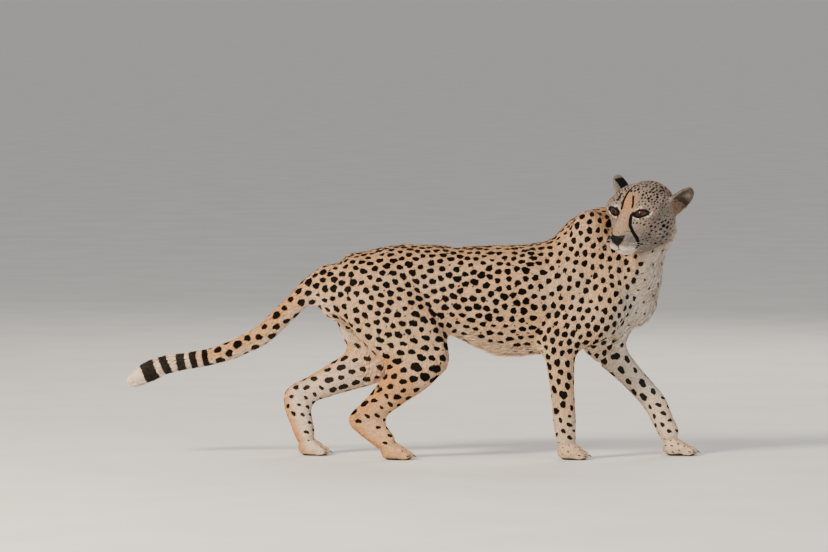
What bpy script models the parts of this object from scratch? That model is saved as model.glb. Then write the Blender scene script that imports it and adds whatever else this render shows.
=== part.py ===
"""A life-size cheetah, walking to +X with its head turned back over its right shoulder.

Metres, +Z up. The animal faces +X, its left side is +Y, and its feet stand on z = 0.
Its flesh is modelled as muscle masses, which are fused into one rounded body and then
parted with thin cuts into the pieces that a person would name.
"""

from collections import namedtuple
from math import cos, pi, radians, sin

import bmesh
import bpy
import numpy as np
from mathutils import Matrix, Vector

# Driving dimensions -----------------------------------------------------------------

ORIGIN = Vector((0.0011, -0.0478, 0.0))  # middle of the model's box, in the layout below
CUT_WIDTH = 0.0005  # of the saw cuts that part the body
WHOLE_TRIANGLES = 13600  # before the cuts
PIECE_SHARE = 0.34  # of its triangles that each piece keeps, after the cuts
FINE_SHARE = 0.465  # the same for the head, ears and paws

BODY_VOXEL = 0.0060
BODY_FILLET = 0.022  # radius of the creases between muscles
HEAD_VOXEL = 0.0032
HEAD_FILLET = 0.020
FINE_VOXEL = 0.0034  # of the finished animal, before it is thinned out

HEAD_PLACE = Vector((0.653, -0.090, 0.682))  # middle of the brain case
HEAD_TURN = radians(234.7)  # from +X, seen from above
HEAD_DIP = radians(6.6)
HEAD_TILT = radians(-5.2)  # the left ear hangs lower

EYE_RADIUS = 0.0205
EYE_PLACE = Vector((0.0950, 0.0395, 0.0240))  # left eye's middle, in the head's frame

EAR_WIDTH = 0.076
EAR_THICKNESS = 0.0085
EAR_CUT = 0.46  # where the ear's cut is, from its root inside the skull to its tip

NAPE = Vector((-0.040, 0, -0.034))  # on the cut behind the head, in its frame
TO_FACE = Vector((0.79, 0, 0.61))
CASE_GROWTHS = (1.04, 1.047)  # of the two cutters that part the head from the neck

TOE_SPREAD = 0.0175  # between the middle lines of neighbouring toes of a fore paw
TOE_HEIGHT = 0.0130  # of a toe's middle
TOE_SET_BACK = 0.013  # of the two outer toes
CLAW_LENGTH = 0.012
CLAW_RADIUS = 0.0028
CLAW_HEIGHT = 0.0125

TAN = (0.60, 0.39, 0.19, 1.0)
SAND = (0.66, 0.47, 0.27, 1.0)
CREAM = (0.74, 0.66, 0.53, 1.0)
SOOT = (0.050, 0.042, 0.036, 1.0)
AMBER = (0.22, 0.085, 0.018, 1.0)

# A section of a soft mass: its centre, its half size across, and its half sizes
# towards the front or top side and towards the other side.
Section = namedtuple("Section", "centre across fore back")


def station(x, y, z, across, fore, back=None):
    """A section whose two sides are alike unless both are given."""
    return Section(Vector((x, y, z)), across, fore, fore if back is None else back)


# Modelling helpers ------------------------------------------------------------------


def through_points(rows, per_span):
    """Rows of numbers on a smooth Catmull-Rom curve through the given rows."""
    rows = np.asarray(rows, float)
    padded = np.vstack([2 * rows[0] - rows[1], rows, 2 * rows[-1] - rows[-2]])
    curve = []
    for before, start, end, after in zip(padded, padded[1:], padded[2:], padded[3:]):
        for t in np.arange(per_span) / per_span:
            curve.append(
                start
                + 0.5 * t * (end - before)
                + t * t * (before - 2.5 * start + 2 * end - 0.5 * after)
                + 0.5 * t**3 * (after - before + 3 * (start - end))
            )
    curve.append(rows[-1])
    return np.array(curve)


def mesh_object(name, bm):
    """A new object that holds this bmesh, in the scene's collection."""
    mesh = bpy.data.meshes.new(name)
    bm.to_mesh(mesh)
    bm.free()
    made = bpy.data.objects.new(name, mesh)
    bpy.context.scene.collection.objects.link(made)
    return made


def tube(name, sections, sides=20, per_span=4):
    """A closed loft through unlike oval sections, with domed ends.

    The half size `across` lies along Y, and `fore` and `back` square to both Y and the
    tube's own line: fore is the upper side of a tube that runs forwards, and the front
    of one that runs down.
    """
    rows = through_points([(*s.centre, s.across, s.fore, s.back) for s in sections], per_span)
    centres = rows[:, :3]
    along = [Vector(step).normalized() for step in np.gradient(centres, axis=0)]
    bm = bmesh.new()
    rings = []
    for centre, ahead, (across, fore, back) in zip(centres, along, rows[:, 3:]):
        first = Vector((0, 1, 0)) - ahead.y * ahead
        first.normalize()
        second = ahead.cross(first)
        ring = []
        for angle in np.arange(sides) * 2 * pi / sides:
            depth = fore if sin(angle) > 0 else back
            offset = first * (across * cos(angle)) + second * (depth * sin(angle))
            ring.append(bm.verts.new(Vector(centre) + offset))
        rings.append(ring)
    for ring, following in zip(rings, rings[1:]):
        for k in range(sides):
            n = (k + 1) % sides
            bm.faces.new((ring[k], ring[n], following[n], following[k]))
    for row, outwards in ((0, -1), (-1, 1)):
        dome = 0.6 * min(rows[row, 3:]) * outwards
        tip = bm.verts.new(Vector(centres[row]) + along[row] * dome)
        for k in range(sides):
            bm.faces.new((rings[row][k], rings[row][(k + 1) % sides], tip))
    bmesh.ops.recalc_face_normals(bm, faces=bm.faces)
    return mesh_object(name, bm)


def ellipsoid(name, centre, radii, turn=None):
    """A ball stretched to three radii; `turn` is a rotation about its centre."""
    bm = bmesh.new()
    bmesh.ops.create_uvsphere(bm, u_segments=16, v_segments=10, radius=1)
    turn = Matrix.Identity(4) if turn is None else turn.to_4x4()
    bm.transform(Matrix.Translation(centre) @ turn @ Matrix.Diagonal((*radii, 1)))
    return mesh_object(name, bm)


def settle(item):
    """Applies the object's modifiers."""
    graph = bpy.context.evaluated_depsgraph_get()
    graph.update()
    mesh = bpy.data.meshes.new_from_object(item.evaluated_get(graph))
    item.modifiers.clear()
    old, item.data = item.data, mesh
    bpy.data.meshes.remove(old)
    return item


def remove(*items):
    """Deletes objects with their meshes."""
    for item in items:
        mesh = item.data
        bpy.data.objects.remove(item)
        bpy.data.meshes.remove(mesh)


def add_modifier(item, kind, **settings):
    """Adds a modifier of this kind with these settings."""
    made = item.modifiers.new(kind.title(), kind)
    for name, value in settings.items():
        setattr(made, name, value)


def voxel_remesh(item, voxel):
    """Adds the modifier that rebuilds a surface as an even mesh of one body."""
    add_modifier(item, "REMESH", mode="VOXEL", voxel_size=voxel)


def joined(name, items):
    """One mesh object made of several, which are used up."""
    bm = bmesh.new()
    for item in items:
        bm.from_mesh(item.data)
    remove(*items)
    return mesh_object(name, bm)


def fuse(name, masses, voxel, fillet, smoothing):
    """One rounded body from overlapping masses.

    The skin is grown by `fillet` and shrunk again, which fills the creases between the
    masses with that radius and leaves round forms as they are.
    """
    body = joined(name, masses)
    voxel_remesh(body, voxel)
    add_modifier(body, "DISPLACE", strength=fillet, mid_level=0)
    voxel_remesh(body, voxel)
    add_modifier(body, "DISPLACE", strength=-fillet, mid_level=0)
    voxel_remesh(body, voxel)
    add_modifier(body, "SMOOTH", factor=0.5, iterations=smoothing)
    return settle(body)


def boolean(item, cutter, operation):
    """The object after one exact Boolean with the cutter, which stays."""
    add_modifier(item, "BOOLEAN", object=cutter, operation=operation, solver="EXACT")
    return settle(item)


def keep_largest(item):
    """Drops any crumbs that a cut has left beside the object's one large body."""
    bm = bmesh.new()
    bm.from_mesh(item.data)
    unseen = set(bm.verts)
    islands = []
    while unseen:
        island = [unseen.pop()]
        for vertex in island:
            for edge in vertex.link_edges:
                other = edge.other_vert(vertex)
                if other in unseen:
                    unseen.discard(other)
                    island.append(other)
        islands.append(island)
    islands.sort(key=len)
    for crumb in islands[:-1]:
        bmesh.ops.delete(bm, geom=crumb, context="VERTS")
    bm.to_mesh(item.data)
    bm.free()
    return item


# The pose -----------------------------------------------------------------------------

RIGHT, LEFT = -1, 1
SIDES = {RIGHT: "right", LEFT: "left"}
FORE, HIND = "fore", "hind"

# The ears, in the head's frame and mirrored for the right one: each turns by itself.
EAR_ROOT = Vector((0.001, 0.042, 0.020))
EAR_TIPS = {RIGHT: Vector((-0.029, 0.110, 0.109)), LEFT: Vector((-0.024, 0.116, 0.100))}
EAR_OPENINGS = {RIGHT: Vector((-0.10, 0.95, -0.20)), LEFT: Vector((0.25, 0.95, -0.20))}

# Where each leg's joints stand, as (x, z), and the x of the front of its toes.
LEGS = {
    (FORE, RIGHT): {
        "blade": (0.500, 0.600),
        "shoulder": (0.535, 0.405),
        "elbow": (0.404, 0.345),
        "wrist": (0.419, 0.125),
        "knuckle": (0.424, 0.046),
    },
    (FORE, LEFT): {
        "blade": (0.512, 0.590),
        "shoulder": (0.572, 0.405),
        "elbow": (0.524, 0.322),
        "wrist": (0.676, 0.152),
        "knuckle": (0.724, 0.052),
    },
    (HIND, RIGHT): {
        "hip": (-0.112, 0.468),
        "knee": (0.050, 0.283),
        "hock": (-0.150, 0.117),
        "heel": (-0.175, 0.108),
        "knuckle": (-0.068, 0.040),
    },
    (HIND, LEFT): {
        "hip": (-0.126, 0.470),
        "knee": (-0.062, 0.278),
        "hock": (-0.338, 0.172),
        "heel": (-0.356, 0.176),
        "knuckle": (-0.303, 0.044),
    },
}
TOES = {(FORE, RIGHT): 0.490, (FORE, LEFT): 0.800, (HIND, RIGHT): 0.000, (HIND, LEFT): -0.236}
PAW_WIDTHS = {FORE: 1.0, HIND: 0.92}  # as a share of a fore paw's

# How far each joint is from the animal's middle plane.
SPREADS = {
    FORE: {"blade": 0.050, "shoulder": 0.074, "elbow": 0.080, "wrist": 0.072, "knuckle": 0.068},
    HIND: {"hip": 0.058, "knee": 0.088, "hock": 0.074, "heel": 0.074, "knuckle": 0.072},
}


def leg_joints(leg, side):
    """One leg's joints in three dimensions, in their order down the leg."""
    places = LEGS[leg, side].items()
    return [Vector((x, side * SPREADS[leg][name], z)) for name, (x, z) in places]


def along(first, second, share, across, fore, back=None):
    """A section part of the way from one joint to another."""
    return station(*first.lerp(second, share), across, fore, back)


# The masses of the body -----------------------------------------------------------------


def trunk_mass():
    """Rump, waist and rib cage; rows of x, back's height, belly's height, half width."""
    rows = (
        (-0.255, 0.537, 0.446, 0.040),  # root of the tail
        (-0.205, 0.571, 0.378, 0.068),  # rump
        (-0.123, 0.581, 0.372, 0.084),  # hips
        (-0.040, 0.599, 0.390, 0.088),  # croup
        (0.056, 0.599, 0.393, 0.084),  # loin
        (0.101, 0.600, 0.360, 0.087),  # waist
        (0.171, 0.600, 0.323, 0.098),  # belly
        (0.255, 0.600, 0.295, 0.107),  # last ribs
        (0.339, 0.602, 0.291, 0.109),  # deepest ribs
        (0.448, 0.629, 0.314, 0.099),  # girth
        (0.540, 0.704, 0.333, 0.085),  # withers
        (0.596, 0.690, 0.349, 0.077),
        (0.640, 0.606, 0.374, 0.064),  # breast
        (0.665, 0.534, 0.414, 0.046),
    )
    sections = [
        station(x, 0, (top + bottom) / 2, width, (top - bottom) / 2)
        for x, top, bottom, width in rows
    ]
    return tube("trunk_mass", sections, sides=28)


def neck_mass():
    """The neck, from inside the chest up and round to the back of the skull."""
    sections = [
        station(0.470, 0.000, 0.500, 0.086, 0.150, 0.160),
        station(0.545, 0.000, 0.512, 0.082, 0.130, 0.148),
        station(0.605, 0.000, 0.543, 0.078, 0.100, 0.114),
        station(0.643, -0.005, 0.590, 0.075, 0.080, 0.064),
        station(0.660, -0.018, 0.634, 0.074, 0.070, 0.066),
        station(0.666, -0.040, 0.668, 0.070, 0.062, 0.064),
    ]
    return tube("neck_mass", sections, sides=24)


def tail_mass():
    """The tail, low behind the rump and thick to its round white end."""
    sections = [
        station(-0.225, 0.000, 0.512, 0.044, 0.044),
        station(-0.283, 0.002, 0.478, 0.034, 0.036),
        station(-0.325, 0.005, 0.440, 0.029, 0.031),
        station(-0.382, 0.010, 0.383, 0.028, 0.031),
        station(-0.430, 0.015, 0.340, 0.027, 0.030),
        station(-0.490, 0.022, 0.310, 0.026, 0.029),
        station(-0.548, 0.029, 0.287, 0.025, 0.027),
        station(-0.623, 0.038, 0.271, 0.024, 0.0265),
        station(-0.678, 0.045, 0.262, 0.025, 0.0275),
        station(-0.728, 0.051, 0.246, 0.027, 0.030),
        station(-0.768, 0.056, 0.224, 0.026, 0.028),
        station(-0.796, 0.060, 0.208, 0.018, 0.020),
    ]
    return tube("tail_mass", sections)


def fore_leg_masses(side):
    """Shoulder blade, upper arm and forearm, down to the knuckles."""
    blade, shoulder, elbow, wrist, knuckle = leg_joints(FORE, side)
    lean = Matrix.Rotation(radians(-12), 3, "Y")
    upper_arm = [
        along(shoulder, elbow, -0.05, 0.042, 0.062, 0.070),
        along(shoulder, elbow, 0.40, 0.044, 0.066, 0.074),
        along(shoulder, elbow, 0.80, 0.040, 0.058, 0.062),
        along(shoulder, elbow, 1.05, 0.034, 0.048, 0.050),
    ]
    forearm = [
        along(elbow, wrist, -0.08, 0.036, 0.054, 0.054),
        along(elbow, wrist, 0.12, 0.037, 0.050, 0.051),
        along(elbow, wrist, 0.40, 0.032, 0.040, 0.042),
        along(elbow, wrist, 0.70, 0.028, 0.036, 0.036),
        along(elbow, wrist, 1.00, 0.029, 0.035, 0.035),
        along(wrist, knuckle, 0.50, 0.027, 0.032, 0.032),
        along(wrist, knuckle, 1.00, 0.032, 0.030, 0.030),
    ]
    return [
        ellipsoid("blade", blade, (0.066, 0.036, 0.102), lean),
        ellipsoid("shoulder", shoulder.lerp(blade, 0.2), (0.072, 0.038, 0.080), lean),
        tube("upper_arm", upper_arm),
        tube("forearm", forearm),
    ]


def hind_leg_masses(side):
    """Haunch, thigh, shank and the long foot, down to the knuckles."""
    hip, knee, hock, heel, knuckle = leg_joints(HIND, side)
    thigh = [
        along(hip, knee, -0.22, 0.030, 0.055, 0.085),
        along(hip, knee, 0.10, 0.044, 0.086, 0.116),
        along(hip, knee, 0.42, 0.048, 0.100, 0.118),
        along(hip, knee, 0.74, 0.044, 0.094, 0.104),
        along(hip, knee, 1.00, 0.036, 0.064, 0.066),
    ]
    shank = [
        along(knee, hock, -0.06, 0.032, 0.044, 0.046),
        along(knee, hock, 0.18, 0.038, 0.057, 0.060),
        along(knee, hock, 0.48, 0.035, 0.051, 0.053),
        along(knee, hock, 0.76, 0.028, 0.043, 0.037),
        along(knee, hock, 1.00, 0.026, 0.038, 0.030),
    ]
    foot = [
        along(heel, hock, 0.00, 0.024, 0.028, 0.024),
        along(hock, knuckle, 0.10, 0.027, 0.040, 0.042),
        along(hock, knuckle, 0.45, 0.026, 0.035, 0.036),
        along(hock, knuckle, 0.80, 0.028, 0.032, 0.032),
        along(hock, knuckle, 1.00, 0.032, 0.026, 0.028),
    ]
    return [
        tube("thigh", thigh, sides=24),
        ellipsoid("kneecap", knee + Vector((0.008, 0, 0.004)), (0.044, 0.034, 0.056)),
        tube("shank", shank),
        tube("foot", foot),
    ]


def toe_places(leg, side):
    """Each toe's front end and its place across the paw, in half spreads from the middle."""
    front = TOES[leg, side]
    return ((front - TOE_SET_BACK, -1.5), (front, -0.5), (front, 0.5), (front - TOE_SET_BACK, 1.5))


def paw_masses(leg, side):
    """Palm and four toes."""
    knuckle = leg_joints(leg, side)[-1]
    wide = PAW_WIDTHS[leg]
    palm = Vector((knuckle.x + 0.010, knuckle.y, 0.022))
    masses = [ellipsoid("palm", palm, (0.036, 0.037 * wide, 0.026))]
    for front, place in toe_places(leg, side):
        y = knuckle.y + place * TOE_SPREAD * wide
        tip = Vector((front - 0.018, y, TOE_HEIGHT))
        root = Vector((tip.x - 0.45 * (tip.x - knuckle.x), y, TOE_HEIGHT + 0.011))
        fan = Matrix.Rotation(radians(7) * place, 3, "Z")
        masses += [
            ellipsoid("toe", tip, (0.0195, 0.0112, 0.0145), fan),
            ellipsoid("toe_root", root, (0.0230, 0.0112, 0.0150), fan),
        ]
    return masses


def claw(front, y):
    """A short curved claw, seen as a cone that points forwards and down."""
    bm = bmesh.new()
    bmesh.ops.create_cone(
        bm, cap_ends=True, segments=8, radius1=CLAW_RADIUS, radius2=0.0006, depth=CLAW_LENGTH
    )
    turn = Matrix.Rotation(radians(105), 4, "Y")
    bm.transform(Matrix.Translation((front, y, CLAW_HEIGHT)) @ turn)
    return mesh_object("claw", bm)


# The head, in its own frame: x to the nose, y to its left, z to the crown ----------------


def head_frame():
    """Where the head's own frame lies in the model."""
    turn = (
        Matrix.Rotation(HEAD_TURN, 4, "Z")
        @ Matrix.Rotation(HEAD_DIP, 4, "Y")
        @ Matrix.Rotation(HEAD_TILT, 4, "X")
    )
    return Matrix.Translation(HEAD_PLACE) @ turn


def mirrored(vector, side):
    """A point or direction of the head's left half, taken to the given side."""
    return Vector((vector[0], side * vector[1], vector[2]))


def pair(name, centre, radii):
    """Two ellipsoids, one on each side of the head."""
    return [ellipsoid(name, mirrored(centre, side), radii) for side in (LEFT, RIGHT)]


def nose_bridge():
    """The slope from the forehead down to the nose."""
    sections = [
        station(0.076, 0, 0.036, 0.036, 0.026, 0.040),
        station(0.105, 0, 0.012, 0.030, 0.024, 0.040),
        station(0.128, 0, -0.018, 0.026, 0.021, 0.034),
        station(0.141, 0, -0.042, 0.024, 0.016, 0.024),
    ]
    return tube("nose_bridge", sections)


def ear(side):
    """A round cupped ear, as a shell of even thickness."""
    root, tip = mirrored(EAR_ROOT, side), mirrored(EAR_TIPS[side], side)
    height = (tip - root).length
    up = (tip - root).normalized()
    opening = mirrored(EAR_OPENINGS[side], side)
    opening = (opening - opening.dot(up) * up).normalized()
    across = up.cross(opening)
    columns, rows = 12, 9
    bm = bmesh.new()
    grid = []
    for v in np.linspace(0, 0.985, rows + 1):
        half = EAR_WIDTH / 2 * (0.50 + 0.50 * sin(pi * min(v, 0.5))) * (1 - v**4.2) ** 0.5
        line = []
        for u in np.linspace(-1, 1, columns + 1):
            curl = 0.42 * EAR_WIDTH * u * u * (1 - 0.6 * v) + 0.12 * height * v * v
            line.append(
                bm.verts.new(root + up * (height * v) + across * (half * u) + opening * curl)
            )
        grid.append(line)
    for low, high in zip(grid, grid[1:]):
        for c in range(columns):
            bm.faces.new((low[c], low[c + 1], high[c + 1], high[c]))
    shell = mesh_object("ear", bm)
    add_modifier(shell, "SOLIDIFY", thickness=EAR_THICKNESS, offset=0.0)
    return settle(shell)


def head_mass():
    """The head with its ears, in its own frame."""
    masses = [
        ellipsoid("brain_case", Vector((0.004, 0, 0.018)), (0.088, 0.078, 0.083)),
        ellipsoid("forehead", Vector((0.047, 0, 0.050)), (0.056, 0.070, 0.050)),
        nose_bridge(),
        ellipsoid("muzzle", Vector((0.100, 0, -0.056)), (0.042, 0.042, 0.033)),
        ellipsoid("jaw", Vector((0.050, 0, -0.060)), (0.070, 0.060, 0.036)),
        ellipsoid("throat", Vector((-0.030, 0, -0.040)), (0.066, 0.062, 0.056)),
        *pair("cheek", (0.030, 0.050, -0.020), (0.056, 0.042, 0.056)),
        *pair("under_eye", (0.075, 0.034, -0.012), (0.040, 0.034, 0.040)),
        *pair("orbit", (0.075, 0.050, 0.032), (0.036, 0.039, 0.033)),
        *pair("temple", (0.036, 0.046, 0.032), (0.056, 0.044, 0.046)),
    ]
    head = fuse("head", masses, HEAD_VOXEL, HEAD_FILLET, smoothing=14)
    for side in (LEFT, RIGHT):
        place = mirrored(EYE_PLACE + Vector((0.026, 0.006, 0.0)), side)
        hollow = ellipsoid("hollow", place, (0.018, 0.027, 0.0105))
        boolean(head, hollow, "DIFFERENCE")
        remove(hollow)
    details = [
        ellipsoid("nose", Vector((0.140, 0, -0.047)), (0.014, 0.023, 0.0135)),
        ellipsoid("chin", Vector((0.112, 0, -0.079)), (0.026, 0.024, 0.015)),
        *pair("whisker_pad", (0.121, 0.019, -0.064), (0.026, 0.022, 0.019)),
    ]
    whole = joined("head_shape", [head, *details, ear(LEFT), ear(RIGHT)])
    voxel_remesh(whole, HEAD_VOXEL)
    add_modifier(whole, "SMOOTH", factor=0.5, iterations=3)
    return settle(whole)


def eye(side, radius):
    """An eyeball in its place in the model."""
    centre = head_frame() @ mirrored(EYE_PLACE, side)
    return ellipsoid("eye", centre, (radius, radius, radius))


# The whole animal -------------------------------------------------------------------------


def whole_flesh():
    """One closed body with its head, ears and paws, and the head's own mass."""
    breast = ellipsoid("breast", Vector((0.590, 0, 0.455)), (0.096, 0.058, 0.096))
    masses = [trunk_mass(), breast, neck_mass(), tail_mass()]
    paws = []
    for side in (RIGHT, LEFT):
        masses += fore_leg_masses(side) + hind_leg_masses(side)
        paws += paw_masses(FORE, side) + paw_masses(HIND, side)
    body = fuse("body", masses, BODY_VOXEL, BODY_FILLET, smoothing=4)
    head_shape = head_mass()
    head = bpy.data.objects.new("placed_head", head_shape.data.copy())
    head.data.transform(head_frame())
    flesh = joined("flesh", [body, head, *paws])
    voxel_remesh(flesh, FINE_VOXEL)
    add_modifier(flesh, "SMOOTH", factor=0.5, iterations=4)
    settle(flesh)
    add_modifier(flesh, "TRIANGULATE")
    settle(flesh)
    add_modifier(flesh, "DECIMATE", ratio=WHOLE_TRIANGLES / len(flesh.data.polygons))
    return keep_largest(settle(flesh)), head_shape


def block(name, place, axis, reach, wide, deep):
    """A box that starts at a cut's middle and reaches along the axis.

    Args:
        place: the middle of the box's first face, which is the cut.
        axis: the way from the cut into the piece that it takes off.
        reach: the box's length along the axis.
        wide: its half size square to the axis and level with the floor.
        deep: its half size square to the axis and to the first.
    """
    axis = axis.normalized()
    up = Vector((1, 0, 0)) if abs(axis.z) > 0.99 else Vector((0, 0, 1))
    first = up.cross(axis).normalized()
    second = axis.cross(first)
    bm = bmesh.new()
    bmesh.ops.create_cube(bm, size=2)
    half = reach / 2
    turn = Matrix((first * wide, second * deep, axis * half)).transposed().to_4x4()
    bm.transform(Matrix.Translation(place + axis * half) @ turn)
    return mesh_object(name, bm)


def part_at(body, name, cutter, wider_cutter):
    """The piece of the body inside a cutter; the body loses what the wider one holds."""
    piece = bpy.data.objects.new(name, body.data.copy())
    bpy.context.scene.collection.objects.link(piece)
    boolean(piece, cutter, "INTERSECT")
    boolean(body, wider_cutter, "DIFFERENCE")
    remove(cutter, wider_cutter)
    keep_largest(body)
    return keep_largest(piece)


def take_off(body, name, place, axis, reach, wide, deep):
    """The piece of the body inside a block, which leaves the body with a thin cut."""
    start = place - axis.normalized() * CUT_WIDTH
    sizes = [size + CUT_WIDTH for size in (wide, deep)]
    return part_at(
        body,
        name,
        block("cut", place, axis, reach, wide, deep),
        block("wider_cut", start, axis, reach + 2 * CUT_WIDTH, *sizes),
    )


def thin_out(piece):
    """Fewer triangles on a piece, with its flat cuts and its form kept."""
    fine = piece.name.startswith(("head", "ear")) or piece.name.endswith("paw")
    share = FINE_SHARE if fine else PIECE_SHARE
    add_modifier(piece, "TRIANGULATE")
    add_modifier(piece, "DECIMATE", ratio=share)
    return settle(piece)


def head_case(head, growth):
    """A convex case around the head in front of the nape, with a flat back.

    Args:
        head: the head's mass, in its own frame.
        growth: the case's size as a share of the head's.
    """
    bm = bmesh.new()
    for vertex in head.data.vertices:
        if (vertex.co - NAPE).dot(TO_FACE) > 0:
            bm.verts.new(vertex.co)
    hull = bmesh.ops.convex_hull(bm, input=bm.verts)
    inside = [g for g in hull["geom_interior"] if isinstance(g, bmesh.types.BMVert)]
    bmesh.ops.delete(bm, geom=inside, context="VERTS")
    middle = Matrix.Translation((0.04, 0, 0))
    bm.transform(middle @ Matrix.Scale(growth, 4) @ middle.inverted())
    bmesh.ops.recalc_face_normals(bm, faces=bm.faces)
    bm.transform(head_frame())
    return mesh_object("head_case", bm)


def part_head(body, head_shape):
    """Ears, then the head without them."""
    frame = head_frame()
    turn = frame.to_3x3()
    pieces = []
    for side, word in SIDES.items():
        root, tip = mirrored(EAR_ROOT, side), mirrored(EAR_TIPS[side], side)
        axis = turn @ (tip - root)
        place = frame @ root.lerp(tip, EAR_CUT)
        pieces.append(take_off(body, f"ear_{word}", place, axis, 0.08, 0.05, 0.05))
    case, wider_case = (head_case(head_shape, growth) for growth in CASE_GROWTHS)
    return [part_at(body, "head", case, wider_case), *pieces]


def add_eyes(pieces):
    """Sockets in the head, and the eyeballs in them."""
    head = pieces["head"]
    for side, word in SIDES.items():
        socket = eye(side, EYE_RADIUS + CUT_WIDTH)
        boolean(head, socket, "DIFFERENCE")
        remove(socket)
        ball = eye(side, EYE_RADIUS)
        ball.name = f"eye_{word}"
        pieces[ball.name] = ball
    keep_largest(head)


def part_legs(body):
    """Paws, lower legs and upper legs, from the ground up."""
    pieces = []
    for side, word in SIDES.items():
        out = Vector((0, side, 0))
        name = f"leg_fore_{word}"
        _, _, elbow, wrist, knuckle = leg_joints(FORE, side)
        pieces.append(take_off(body, f"{name}_paw", wrist, knuckle - wrist, 0.22, 0.065, 0.10))
        place = elbow.lerp(wrist, 0.22)
        pieces.append(take_off(body, f"{name}_lower", place, wrist - elbow, 0.30, 0.07, 0.07))
        place = Vector((elbow.x + 0.085, side * 0.048, 0.480))
        pieces.append(take_off(body, f"{name}_upper", place, out, 0.12, 0.125, 0.215))
        name = f"leg_hind_{word}"
        hip, knee, hock, _, knuckle = leg_joints(HIND, side)
        pieces.append(take_off(body, f"{name}_paw", hock, knuckle - hock, 0.24, 0.065, 0.10))
        place = knee.lerp(hock, 0.30)
        pieces.append(take_off(body, f"{name}_lower", place, hock - knee, 0.30, 0.07, 0.09))
        place = Vector((hip.lerp(knee, 0.5).x - 0.02, side * 0.036, 0.365))
        pieces.append(take_off(body, f"{name}_upper", place, out, 0.14, 0.170, 0.175))
    return pieces


def part_tail(body):
    """The tail in three lengths."""
    places = (
        ("tail_tip", Vector((-0.640, 0.040, 0.269)), Vector((-1, 0.12, -0.20))),
        ("tail_middle", Vector((-0.455, 0.018, 0.327)), Vector((-1, 0.12, -0.50))),
        ("tail_base", Vector((-0.290, 0.002, 0.472)), Vector((-1, 0.06, -1.00))),
    )
    return [take_off(body, name, place, axis, 0.30, 0.07, 0.07) for name, place, axis in places]


def part_neck(body):
    """The neck, from the front of the withers to the head's cut."""
    place = Vector((0.620, 0, 0.560))
    return take_off(body, "neck", place, Vector((0.65, 0, 0.76)), 0.30, 0.13, 0.14)


def material(name, colour, roughness):
    """A Principled material of one colour."""
    made = bpy.data.materials.new(name)
    made.use_nodes = True
    shader = made.node_tree.nodes["Principled BSDF"]
    shader.inputs["Base Color"].default_value = colour
    shader.inputs["Roughness"].default_value = roughness
    shader.inputs["Metallic"].default_value = 0.0
    return made


def colour_of(name):
    """The main colour and roughness of a piece."""
    if name.startswith("eye"):
        return AMBER, 0.12
    if name.startswith("ear"):
        return SOOT, 0.85
    if name.endswith(("paw", "lower")):
        return SAND, 0.85
    if name in ("neck", "tail_tip"):
        return CREAM, 0.85
    return TAN, 0.85


def flatten_soles(pieces):
    """Cuts the paws off level with the floor."""
    floor = block("floor", Vector((0, 0, 0)), Vector((0, 0, -1)), reach=0.2, wide=2, deep=2)
    for name, piece in pieces.items():
        if name.endswith("paw"):
            keep_largest(boolean(piece, floor, "DIFFERENCE"))
    remove(floor)


def add_claws(pieces):
    """Joins four claws to each paw."""
    for leg, side in LEGS:
        paw = pieces[f"leg_{leg}_{SIDES[side]}_paw"]
        middle = leg_joints(leg, side)[-1].y
        spread = TOE_SPREAD * PAW_WIDTHS[leg] + 0.0012
        for front, place in toe_places(leg, side):
            nail = claw(front, middle + place * spread)
            boolean(paw, nail, "UNION")
            remove(nail)


def main():
    """Clears the scene and builds the animal."""
    for item in list(bpy.data.objects):
        bpy.data.objects.remove(item)
    flesh, head_shape = whole_flesh()
    pieces = part_head(flesh, head_shape)
    pieces += part_legs(flesh) + part_tail(flesh) + [part_neck(flesh)]
    remove(head_shape)
    flesh.name = "trunk"
    pieces = {piece.name: thin_out(piece) for piece in [*pieces, flesh]}
    add_eyes(pieces)
    flatten_soles(pieces)
    add_claws(pieces)
    collection = bpy.data.collections.new("cheetah")
    bpy.context.scene.collection.children.link(collection)
    for name, piece in pieces.items():
        piece.data.transform(Matrix.Translation(-ORIGIN))
        piece.data.name = name
        bpy.context.scene.collection.objects.unlink(piece)
        collection.objects.link(piece)
        colour, roughness = colour_of(name)
        piece.data.materials.clear()
        piece.data.materials.append(material(name, colour, roughness))


if __name__ == "__main__":
    main()
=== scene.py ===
"""Dresses a life-size cheetah: one skin, its markings, the coat, eyes, whiskers and claws.

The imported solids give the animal's outline out to the tips of its coat. The skin is cast
over them, sinks below them by the coat's depth, and gets its lids, nostrils and lips. The
coat is a mesh of small flat tufts that lie along the body and carry the skin's markings.
"""

from __future__ import annotations

import logging
from dataclasses import dataclass, field
from enum import Enum

import bmesh
import bpy
import numpy as np
from mathutils import Matrix, Vector, kdtree
from mathutils.bvhtree import BVHTree


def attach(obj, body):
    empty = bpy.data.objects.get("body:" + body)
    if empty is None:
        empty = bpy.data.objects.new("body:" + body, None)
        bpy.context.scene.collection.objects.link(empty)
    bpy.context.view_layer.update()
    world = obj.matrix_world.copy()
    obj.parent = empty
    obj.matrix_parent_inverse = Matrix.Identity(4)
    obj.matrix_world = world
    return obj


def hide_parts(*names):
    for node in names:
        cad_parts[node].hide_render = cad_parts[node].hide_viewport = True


LOG = logging.getLogger("cheetah")
MM = 0.001
FAR = 1.0  # a distance that is longer than any that matters, in metres
SQUARE_SHARE = 0.25  # how much of a gap's part square to the skin counts, as paths run off it a little
SEED = 20

Array = np.ndarray
Place = tuple[float, float, float]
Rgb = tuple[int, int, int]  # each from 0 to 255
Piece = bpy.types.Object
Socket = bpy.types.NodeSocket
Chance = np.random.Generator


class Side(Enum):
    """The animal's two sides, with the sign of their Y."""

    RIGHT = -1
    LEFT = 1


class Leg(Enum):
    """The two kinds of leg."""

    FORE = "fore"
    HIND = "hind"


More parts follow.
